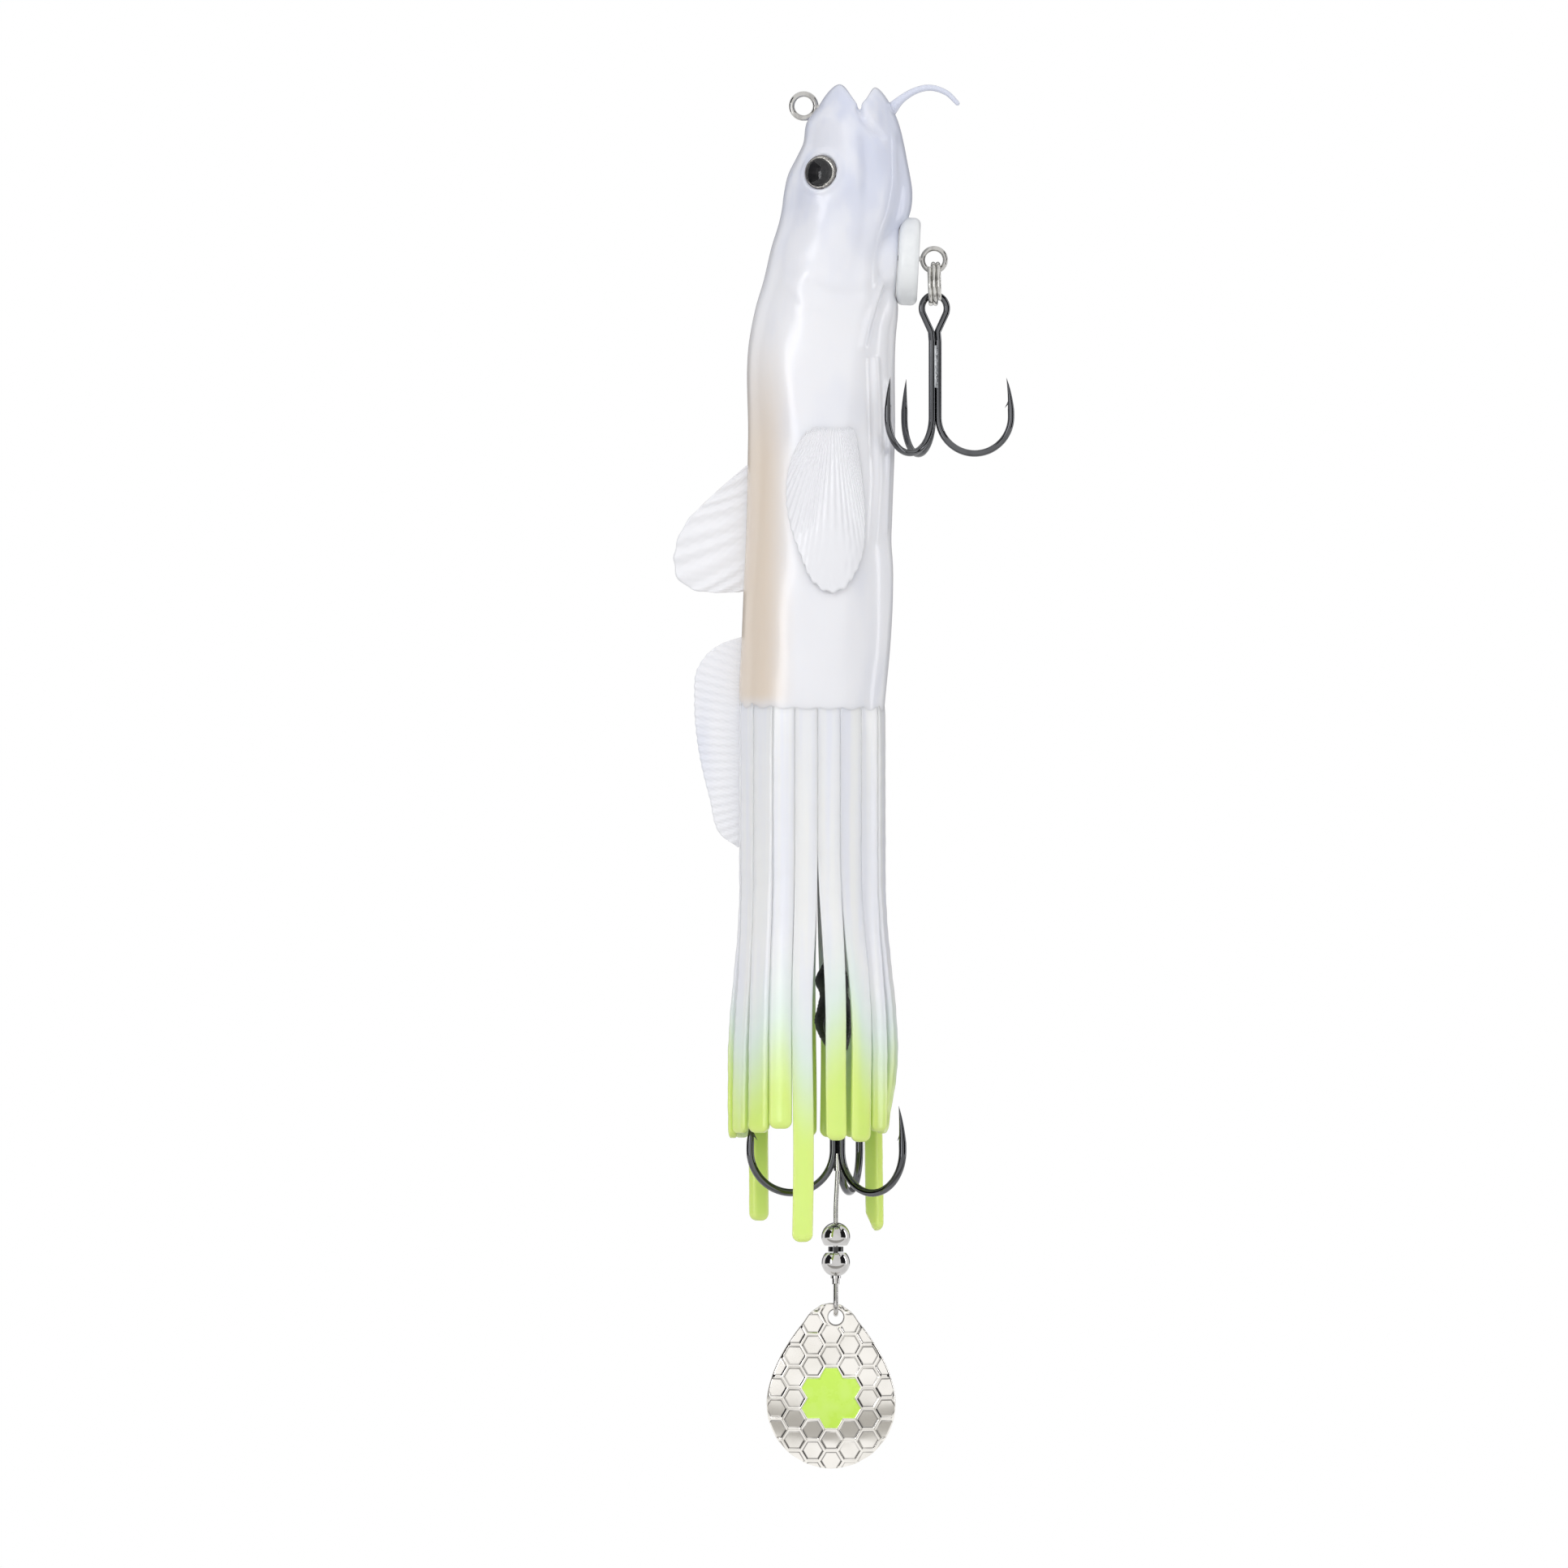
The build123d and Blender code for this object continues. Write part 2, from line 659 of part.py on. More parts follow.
def sleeve_blank():
    """Heat-shrink tube, drawn down over the loop, the crimp and the hook's eye."""
    sections = []
    for z, long_way, short_way in SLEEVE_STATIONS:
        share = (SLEEVE_STATIONS[0][0] - z) / (SLEEVE_STATIONS[0][0] - SLEEVE_STATIONS[-1][0])
        x = LEADER_X + (REAR_HOOK_X - LEADER_X) * share
        sections.append(Plane((x, 0, z)) * Rot(0, 0, SLEEVE_TURN) * Ellipse(long_way, short_way))
    return loft(sections)


def ferrule_blank():
    """The small crimp in the crotch of the rear hook."""
    return upright(REAR_HOOK_X, FERRULE_BOTTOM, FERRULE_TOP, FERRULE_RADIUS)


def spinner_wire():
    """The straight wire from the ferrule to the swivel's collar."""
    top, foot = (REAR_HOOK_X, 0, SPINNER_WIRE_TOP), (SPINNER_X, 0, COLLAR_TOP)
    path = FilletPolyline(top, (SPINNER_X, 0, SPINNER_WIRE_KNEE), foot, radius=SPINNER_WIRE_BEND)
    return swept_wire(path, SPINNER_WIRE)


def swivel_pin():
    """Collar, shaft and the head that is trapped in the swivel's ball."""
    pin = upright(SPINNER_X, COLLAR_BOTTOM, COLLAR_TOP, COLLAR_RADIUS)
    pin += upright(SPINNER_X, SWIVEL_Z, COLLAR_BOTTOM, SPINNER_WIRE)
    return pin + upright(SPINNER_X, PIN_HEAD_BOTTOM, PIN_HEAD_TOP, PIN_HEAD_RADIUS)


def upper_bead():
    """A round bead that turns freely on the wire, with a flat to bear on the collar."""
    bead = Pos(SPINNER_X, 0, BEAD_Z) * Sphere(BEAD_RADIUS)
    bead -= upright(SPINNER_X, BEAD_Z - BEAD_RADIUS, BEAD_Z + BEAD_RADIUS, SPINNER_WIRE + SHAFT_GAP)
    return bead - upright(SPINNER_X, BEAD_Z - BEAD_RADIUS, COLLAR_TOP + CLEARANCE, BEAD_RADIUS)


def swivel_body(link):
    """The hollow ball that turns on the pin, with a neck for the link."""
    ball = Pos(SPINNER_X, 0, SWIVEL_Z) * Sphere(SWIVEL_RADIUS)
    ball += upright(SPINNER_X, NECK_BOTTOM, SWIVEL_Z, NECK_RADIUS)
    ball_top = SWIVEL_Z + SWIVEL_RADIUS
    ball -= upright(SPINNER_X, COLLAR_BOTTOM - CLEARANCE, ball_top, SWIVEL_RADIUS)
    ball -= upright(SPINNER_X, SWIVEL_Z, ball_top, SPINNER_WIRE + SHAFT_GAP)
    room = (PIN_HEAD_BOTTOM - CLEARANCE, PIN_HEAD_TOP + CLEARANCE, PIN_HEAD_RADIUS + CLEARANCE)
    ball -= upright(SPINNER_X, *room)
    return ball - link


def link_loop():
    """A wire teardrop that carries the blade, with its stem in the swivel's neck."""
    frame = upright_plane(SPINNER_X, 90)
    foot_half = LINK_WIRE + FOOT_GAP
    upturned = teardrop(frame, LINK_RADIUS, -LINK_BOTTOM, foot_half, -LINK_STEM, LINK_WIRE)
    stem = upright(SPINNER_X, LINK_STEM - FOOT_GAP, NECK_BOTTOM + LINK_STEM_DEPTH, LINK_STEM_RADIUS)
    return mirror(upturned, about=Plane.XY) + stem


# ---- blade ----


def dished(outline_prism, inner, outer):
    """What a prism keeps between two spheres that share the dish's centre."""
    sag = BLADE_DISH - math.sqrt(BLADE_DISH**2 - (BLADE_HOLE_Z - BLADE_DISH_Z) ** 2)
    centre = Pos(BLADE_X, BLADE_DISH - sag, BLADE_DISH_Z)
    shell = centre * Sphere(outer) - centre * Sphere(inner)
    return outline_prism & shell


def lean(shape):
    """Tips a blade piece about the link's round, so that it hangs in balance."""
    axis = Axis((SPINNER_X, 0, LINK_BOTTOM + LINK_RADIUS), (1, 0, 0))
    return shape.rotate(axis, BLADE_LEAN)


def blade():
    """A dished Colorado blade, round side to the front."""
    right = [(BLADE_X + half, z) for z, half in BLADE_OUTLINE]
    left = [(BLADE_X - half, z) for z, half in reversed(BLADE_OUTLINE)]
    points = [(BLADE_X, BLADE_TOP)] + right + [(BLADE_X, BLADE_BOTTOM)] + left
    outline = Plane.XZ * make_face(Spline(*points, periodic=True))
    plate = dished(extrude(outline, amount=CUT_REACH, both=True), BLADE_DISH, BLADE_DISH + BLADE_THICKNESS)
    hole = Pos(SPINNER_X, 0, BLADE_HOLE_Z) * Rot(90, 0, 0) * Cylinder(BLADE_HOLE_RADIUS, CUT_REACH)
    return lean(plate - hole)


def blade_decal():
    """A thin coloured sticker over seven hexagons of the blade."""
    cells = []
    for turn in range(0, 360, 60):
        angle = math.radians(turn + 90)
        place = (BLADE_X + HEX_PITCH * math.cos(angle), DECAL_Z + HEX_PITCH * math.sin(angle))
        cells.append(Pos(*place) * RegularPolygon(HEX_PITCH / math.sqrt(3) + OVERLAP, 6))
    field = Pos(BLADE_X, DECAL_Z) * RegularPolygon(HEX_PITCH / math.sqrt(3) + OVERLAP, 6)
    for cell in cells:
        field += cell
    prism = extrude(Plane.XZ * field, amount=CUT_REACH)
    skin = BLADE_DISH + BLADE_THICKNESS
    return lean(dished(prism, skin, skin + DECAL_THICKNESS))


# ---- assembly ----

parts = {}

tie = line_tie()
harness = harness_wire()
eye_wire = screw_eye()
insert = insert_blank()
crimp = tail_crimp_blank()
weight = belly_weight()
core = core_blank()
disc = disc_blank()
tail_leader = leader()

parts["line_tie"] = tie
parts["harness_wire"] = harness
parts["belly_eye"] = eye_wire
parts["eye_insert"] = insert - eye_wire
parts["head_core"] = core - tie - harness - insert - eye_wire
parts["belly_weight"] = weight
parts["tail_crimp"] = crimp - harness - tail_leader
parts["tail_leader"] = tail_leader
parts["belly_disc"] = disc - eye_wire
held = [core, tie, harness, insert, weight, crimp, disc, eye_wire, tail_leader]
parts["body_moulding"] = body_moulding(held)

for name, piece in eye_pieces().items():
    parts[f"eye_{name}_left"] = piece
    parts[f"eye_{name}_right"] = mirrored(piece)

parts["chin_barbel"] = chin_barbel()
parts["first_dorsal_fin"] = dorsal_fin(FIRST_DORSAL_ROOT, FIRST_DORSAL_EDGE)
parts["second_dorsal_fin"] = dorsal_fin(SECOND_DORSAL_ROOT, SECOND_DORSAL_EDGE)
parts["pectoral_fin_left"] = pectoral_fin()
parts["pectoral_fin_right"] = mirrored(pectoral_fin())

for number in range(STRAND_COUNT):
    parts[f"strand_{number:02d}"] = strand(number)

parts["belly_split_ring"] = split_ring()
belly_treble = Treble(RING_X, BELLY_HOOK_TOP, 1.0, BELLY_HOOK_TURNS)
for name, piece in treble_pieces(belly_treble).items():
    parts[f"belly_hook_{name}"] = piece

rear_treble = Treble(REAR_HOOK_X, REAR_HOOK_TOP, REAR_HOOK_SCALE, REAR_HOOK_TURNS)
rear = treble_pieces(rear_treble)
for name, piece in rear.items():
    parts[f"rear_hook_{name}"] = piece
rear_hook = rear["double"] + rear["single"] + rear["braze"]

loop = leader_loop()
wire = spinner_wire()
parts["leader_loop"] = loop
parts["shrink_sleeve"] = sleeve_blank() - loop - rear_hook
parts["spinner_wire"] = wire
parts["ferrule"] = ferrule_blank() - rear_hook - wire
parts["swivel_pin"] = swivel_pin()
parts["upper_bead"] = upper_bead()
link = link_loop()
parts["swivel_body"] = swivel_body(link)
parts["link_loop"] = link
parts["spinner_blade"] = blade()
parts["blade_decal"] = blade_decal()

for name, shape in parts.items():
    export_step(shape, f"parts/{name}.step")
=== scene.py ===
import math

import bpy
import numpy as np
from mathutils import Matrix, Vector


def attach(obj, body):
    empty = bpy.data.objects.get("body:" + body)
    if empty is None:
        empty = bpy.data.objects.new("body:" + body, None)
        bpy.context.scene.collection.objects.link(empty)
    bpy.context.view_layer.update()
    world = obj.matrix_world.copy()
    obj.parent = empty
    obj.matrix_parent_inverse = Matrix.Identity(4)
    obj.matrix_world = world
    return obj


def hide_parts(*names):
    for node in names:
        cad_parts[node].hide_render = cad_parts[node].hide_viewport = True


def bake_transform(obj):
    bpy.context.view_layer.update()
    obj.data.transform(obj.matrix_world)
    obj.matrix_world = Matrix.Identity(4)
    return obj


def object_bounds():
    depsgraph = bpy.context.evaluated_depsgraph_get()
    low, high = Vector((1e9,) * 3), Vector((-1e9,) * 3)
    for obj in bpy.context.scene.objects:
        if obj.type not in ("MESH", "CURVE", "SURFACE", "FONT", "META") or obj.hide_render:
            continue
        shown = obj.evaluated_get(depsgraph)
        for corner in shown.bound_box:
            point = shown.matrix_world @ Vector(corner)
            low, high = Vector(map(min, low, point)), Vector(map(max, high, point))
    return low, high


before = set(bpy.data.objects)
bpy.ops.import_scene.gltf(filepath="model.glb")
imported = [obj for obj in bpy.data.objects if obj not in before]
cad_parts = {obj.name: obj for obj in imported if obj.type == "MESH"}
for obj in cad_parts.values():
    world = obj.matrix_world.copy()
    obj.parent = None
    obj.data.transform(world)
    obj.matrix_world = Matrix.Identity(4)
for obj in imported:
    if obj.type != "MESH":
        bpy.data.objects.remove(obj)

cad_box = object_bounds()


# ---- Studio: a white sweep, large soft lamps, and a long lens square to the right flank. Cards stand
# round the lure, where only gloss mirrors them. The lure hangs nose up by its line tie.

VIEW_WIDTH = 0.4057
VIEW_CENTRE = (-0.0051, -0.1754)
VIEW_DISTANCE = 6.0
SENSOR = 36
FLOOR_DROP = 0.06
WHITE = (1.0, 1.0, 1.0, 1.0)


def show_white_to_rays(nodes, links, dim):
    """Mixes a dim colour for diffuse light with plain white for camera, glossy and transmission rays."""
    path = nodes.new("ShaderNodeLightPath")
    seen = path.outputs["Is Camera Ray"]
    for other in ("Is Glossy Ray", "Is Transmission Ray"):
        either = nodes.new("ShaderNodeMath")
        either.operation = "MAXIMUM"
        links.new(seen, either.inputs[0])
        links.new(path.outputs[other], either.inputs[1])
        seen = either.outputs[0]
    mix = nodes.new("ShaderNodeMix")
    mix.data_type = "RGBA"
    mix.inputs["A"].default_value = dim
    mix.inputs["B"].default_value = WHITE
    links.new(seen, mix.inputs["Factor"])
    return mix.outputs["Result"]


world = bpy.data.worlds.new("studio_air")
bpy.context.scene.world = world
world.use_nodes = True
air = world.node_tree
air_colour = show_white_to_rays(air.nodes, air.links, (0.62, 0.62, 0.64, 1))
air.links.new(air_colour, air.nodes["Background"].inputs["Color"])


def stage_panel(name, size, place, turn, material):
    """A flat rectangle that is part of the studio, not of the lure."""
    bpy.ops.mesh.primitive_plane_add(size=1, location=place, rotation=turn)
    panel = bpy.context.object
    panel.name = name
    panel.scale = (size[0], size[1], 1)
    panel.data.materials.append(material)
    return panel


sweep = bpy.data.materials.new("white_sweep")
sweep.use_nodes = True
sweep_nodes, sweep_links = sweep.node_tree.nodes, sweep.node_tree.links
sweep_glow = sweep_nodes.new("ShaderNodeEmission")
sweep_colour = show_white_to_rays(sweep_nodes, sweep_links, (0.56, 0.56, 0.57, 1))
sweep_links.new(sweep_colour, sweep_glow.inputs["Color"])
sweep_links.new(sweep_glow.outputs[0], sweep_nodes["Material Output"].inputs["Surface"])
stage_panel("floor", (8, 8), (0, 0, cad_box[0][2] - FLOOR_DROP), (0, 0, 0), sweep)

MIRRORED_CARDS = {
    # size, place, turn, colour
    "left_card": ((1.27, 2.0), (-0.9, -0.435, -0.2), (math.pi / 2, 0, math.pi / 2), (0.02, 0.02, 0.022, 1)),
    "right_card": ((1.27, 2.0), (0.95, -0.435, -0.2), (math.pi / 2, 0, math.pi / 2), (0.02, 0.02, 0.022, 1)),
    "back_card": ((2.4, 2.0), (0.0, 1.3, -0.2), (math.pi / 2, 0, 0), (0.2, 0.2, 0.205, 1)),
    "low_card": ((0.9, 0.115), (0.0, -0.1425, -0.408), (0, 0, 0), (0.46, 0.45, 0.43, 1)),
    "left_strip": ((0.26, 0.9), (-0.8, -0.95, -0.17), (math.pi / 2, 0, -0.70), (4.5, 4.5, 4.6, 1)),
    "right_strip": ((0.14, 1.1), (0.9, 0.06, -0.17), (math.pi / 2, 0, -1.55), (4.5, 4.5, 4.6, 1)),
}
for name, (size, place, turn, colour) in MIRRORED_CARDS.items():
    glow = bpy.data.materials.new(name)
    glow.use_nodes = True
    emission = glow.node_tree.nodes.new("ShaderNodeEmission")
    emission.inputs["Color"].default_value = colour
    glow.node_tree.links.new(emission.outputs[0], glow.node_tree.nodes["Material Output"].inputs["Surface"])
    panel = stage_panel(name, size, place, turn, glow)
    panel.visible_camera = panel.visible_diffuse = panel.visible_shadow = panel.visible_transmission = False


def soft_lamp(name, place, aim, size, watts):
    """A square area lamp that faces a point. Gloss mirrors the cards and not the lamps."""
    data = bpy.data.lights.new(name, "AREA")
    data.size, data.energy = size, watts
    lamp = bpy.data.objects.new(name, data)
    bpy.context.collection.objects.link(lamp)
    lamp.location = place
    way = np.array(aim, float) - np.array(place, float)
    lamp.visible_glossy = False
    lamp.rotation_euler = (math.atan2(math.hypot(way[0], way[1]), -way[2]), 0, math.atan2(-way[0], way[1]))
    return lamp


MIDDLE = (0.0, 0.0, -0.17)
soft_lamp("key", (-0.8, -1.6, 0.55), MIDDLE, 1.5, 14)
soft_lamp("fill", (1.1, -1.3, 0.1), MIDDLE, 0.9, 5.8)
soft_lamp("rim", (0.4, 1.1, 0.5), MIDDLE, 0.8, 2.5)

camera_data = bpy.data.cameras.new("camera")
camera_data.lens, camera_data.sensor_width = SENSOR * VIEW_DISTANCE / VIEW_WIDTH, SENSOR
camera_data.clip_start, camera_data.clip_end = 0.01, 20
camera = bpy.data.objects.new("camera", camera_data)
bpy.context.collection.objects.link(camera)
camera.location = (VIEW_CENTRE[0], -VIEW_DISTANCE, VIEW_CENTRE[1])
camera.rotation_euler = (math.pi / 2, 0, 0)
bpy.context.scene.camera = camera
bpy.context.scene.view_settings.view_transform = "Standard"


# ---- Body: one soft casting in pearl plastic from the snout to the slit tops, with the mouth notch,
# lip lines, gill folds and eye sockets moulded in. Sizes are in millimetres, nose up, belly to +X.

MM = 0.001
BODY_END, BODY_LAP = -156.0, 2.0
NOSE_HEIGHT = 6.95
NOSE_BLUNTNESS = 2.45
LIP_SOFTNESS = 1.5
NOSE_MIDDLE = 13.3
BODY_SIDES = [
    # height, back, belly, half width
    (0.0, 3.9, 22.7, 9.2),
    (-3.4, 1.2, 24.2, 11.0),
    (-10.1, -0.3, 26.0, 12.7),
    (-13.8, -2.1, 26.7, 13.7),
    (-17.4, -3.9, 27.4, 14.4),
    (-22.5, -5.1, 28.1, 15.0),
    (-27.0, -5.7, 27.7, 15.0),
    (-30.2, -6.4, 26.6, 15.0),
    (-36.0, -8.2, 23.9, 15.1),
    (-45.2, -10.4, 23.6, 15.4),
    (-52.0, -12.4, 24.4, 15.6),
    (-60.0, -14.0, 23.8, 15.8),
    (-86.2, -14.4, 23.6, 15.9),
    (-106.0, -14.8, 22.9, 15.6),
    (-113.0, -15.0, 22.7, 15.5),
    (-119.0, -15.3, 23.1, 15.3),
    (-126.0, -15.6, 23.1, 15.1),
    (-138.5, -16.1, 22.5, 14.7),
    (-154.0, -16.65, 21.05, 14.25),
    (-158.0, -16.4, 20.7, 13.95),
]
MOUTH_X, MOUTH_Z = 14.6, -0.6
MOUTH_SLOPES = (1.55, 1.9)
LIP_LINE = [(14.2, -0.8), (15.3, -3.8), (17.8, -6.3), (20.3, -8.0), (22.0, -9.6)]
JAW_RIDGE = [(21.8, -9.5), (23.0, -12.0), (22.6, -17.5), (21.6, -23.5)]
JAW_RIDGE += [(20.8, -28.5), (18.9, -34.5), (16.9, -42.0), (16.4, -50.0)]
JAW_HOLLOW = [(25.6, -13.0), (26.0, -20.0), (24.6, -27.0), (21.6, -34.0), (20.4, -42.0), (20.4, -52.0)]
GILL_FOLD = [(23.6, -33.5), (22.2, -40.0), (19.6, -48.0), (16.8, -56.0), (15.4, -62.0)]
GILL_ARC = [(1.5, -46.0), (7.0, -48.4), (12.5, -49.0), (17.0, -47.2)]
LOWER_ARC = [(-4.5, -48.0), (-1.0, -52.2), (4.0, -54.0)]
BROW_RIDGE = [(0.5, -9.0), (0.2, -13.5), (1.2, -24.0), (6.0, -26.0), (9.6, -21.5)]
CHEEK_RIDGE = [(11.0, -5.0), (12.2, -12.0), (12.8, -20.0)]
CHEEK_HOLLOW = [(15.6, -9.0), (16.2, -16.0), (16.0, -24.0), (15.4, -34.0)]
BELLY_FOLD = [(18.6, -66.0), (19.2, -80.0), (19.6, -96.0), (18.8, -112.0)]
BELLY_PLEAT = [(21.6, -72.0), (21.8, -92.0), (21.2, -110.0)]
SKIN_RIDGES = [
    # line, shift along X and Z, width, rise, fade, whether on the jaw alone
    (LIP_LINE, 0, 0, 0.9, -0.8, 0.9, True),
    (LIP_LINE, 1.0, 1.4, 1.5, 0.4, 0.6, True),
    (JAW_RIDGE, 0, 0, 2.6, 0.7, 0.4, True),
    (JAW_HOLLOW, 0, 0, 2.4, -0.8, 0.3, True),
    (GILL_FOLD, 0, 0, 1.0, 0.75, 0.5, False),
    (GILL_FOLD, 1.6, 0, 0.8, -0.6, 0.5, False),
    (GILL_ARC, 0, 0, 1.4, -0.14, 0.6, False),
    (GILL_ARC, 0, 2.6, 2.4, 0.25, 0, False),
    (LOWER_ARC, 0, 0, 1.3, -0.1, 0.5, False),
    (LOWER_ARC, 0, 2.2, 2.0, 0.12, 0, False),
    (BROW_RIDGE, 0, 0, 2.2, 0.3, 0, False),
    (CHEEK_RIDGE, 0, 0, 2.6, 0.5, 0, False),
    (CHEEK_HOLLOW, 0, 0, 1.6, -0.35, 0.6, False),
    (BELLY_FOLD, 0, 0, 0.9, 0.6, 0.5, False),
    (BELLY_PLEAT, 0, 0, 0.7, 0.45, 0.5, False),
    (BELLY_FOLD, -1.5, 0, 0.9, -0.35, 0.5, False),
]
EYE_CENTRE, EYE_FACING = (4.2, 12.7, -17.4), (-0.42, 0.90, 0.10)
EYE_RADIUS = 4.2
SOCKET_FLOOR = -1.75
SEAT_X, SEAT_Z, SEAT_SLOPE, SEAT_RADIUS = 24.26, -40.05, 0.0524, 11.0


def through(points, where):
    """A smooth curve through stations: cubic pieces, each station's slope the mean of its neighbours'."""
    points = np.array(points, float)
    place, value = points[:, 0], points[:, 1:]
    if place[0] > place[-1]:
        place, value = place[::-1], value[::-1]
    slope = np.gradient(value, place, axis=0)
    where = np.clip(where, place[0], place[-1])
    at = np.clip(np.searchsorted(place, where) - 1, 0, len(place) - 2)
    step = (place[at + 1] - place[at])[..., None]
    t = (where - place[at])[..., None] / step
    lean = slope[at] * step * t * (1 - t) ** 2 - slope[at + 1] * step * t**2 * (1 - t)
    return value[at] + (value[at + 1] - value[at]) * t**2 * (3 - 2 * t) + lean


def full_turn(count):
    """Even angles once round a circle, without the repeated last one."""
    return np.linspace(0, 2 * math.pi, count, endpoint=False)


def smooth(value, low, high):
    """Rises from 0 at low to 1 at high, flat at both ends."""
    t = np.clip((value - low) / (high - low), 0, 1)
    return t * t * (3 - 2 * t)


def ridge_along(x, z, line, width, rise, fade=0.0):
    """A bell-shaped rise round a chain of straight runs in the side view, fading towards its far end."""
    nearest, along = np.full(x.shape, 1e9), np.zeros(x.shape)
    runs = len(line) - 1
    for number, ((ax, az), (bx, bz)) in enumerate(zip(line, line[1:])):
        run = (bx - ax) ** 2 + (bz - az) ** 2
        t = np.clip(((x - ax) * (bx - ax) + (z - az) * (bz - az)) / run, 0, 1)
        away = np.hypot(x - ax - t * (bx - ax), z - az - t * (bz - az))
        along = np.where(away < nearest, (number + t) / runs, along)
        nearest = np.minimum(nearest, away)
    ends = 1 - fade * smooth(along, 0.45, 1.0)
    return rise * ends * np.exp(-((nearest / width) ** 2))


def outward(grid):
    """Unit normals of a grid of points whose first index runs along and whose second runs round."""
    around = np.roll(grid, -1, 1) - np.roll(grid, 1, 1)
    normal = np.cross(np.gradient(grid, axis=0), around)
    return normal / np.maximum(np.linalg.norm(normal, axis=2, keepdims=True), 1e-9)


def closed_tube(name, grid, material, body=None):
    """A skin from rings of points in millimetres: quads between rings, and a fan to the middle of each end.
    Where a ring runs clockwise as seen from the next, every face is turned round."""
    rows, columns = grid.shape[:2]
    points = np.concatenate([grid.reshape(-1, 3), [grid[0].mean(axis=0), grid[-1].mean(axis=0)]])
    row, column = np.meshgrid(np.arange(rows - 1), np.arange(columns), indexing="ij")
    a, b = row * columns + column, row * columns + (column + 1) % columns
    quads = np.stack([a, b, b + columns, a + columns], axis=-1).reshape(-1, 4)
    ring, last = np.arange(columns), (rows - 1) * columns
    following = (ring + 1) % columns
    top = np.stack([following, ring, np.full(columns, rows * columns)], axis=-1)
    bottom = np.stack([last + ring, last + following, np.full(columns, rows * columns + 1)], axis=-1)
    middle = grid[rows // 2]
    turned = np.cross(middle - middle.mean(axis=0), np.roll(middle, -1, 0) - middle).sum(axis=0)
    if turned @ (grid[-1].mean(axis=0) - grid[0].mean(axis=0)) < 0:
        quads, top, bottom = quads[:, ::-1], top[:, ::-1], bottom[:, ::-1]
    mesh = bpy.data.meshes.new(name)
    mesh.from_pydata((points * MM).tolist(), [], quads.tolist() + top.tolist() + bottom.tolist())
    mesh.polygons.foreach_set("use_smooth", np.ones(len(mesh.polygons), bool))
    mesh.update()
    mesh.materials.append(material)
    skin = bpy.data.objects.new(name, mesh)
    bpy.context.collection.objects.link(skin)
    if body is not None:
        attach(skin, body)
    return skin


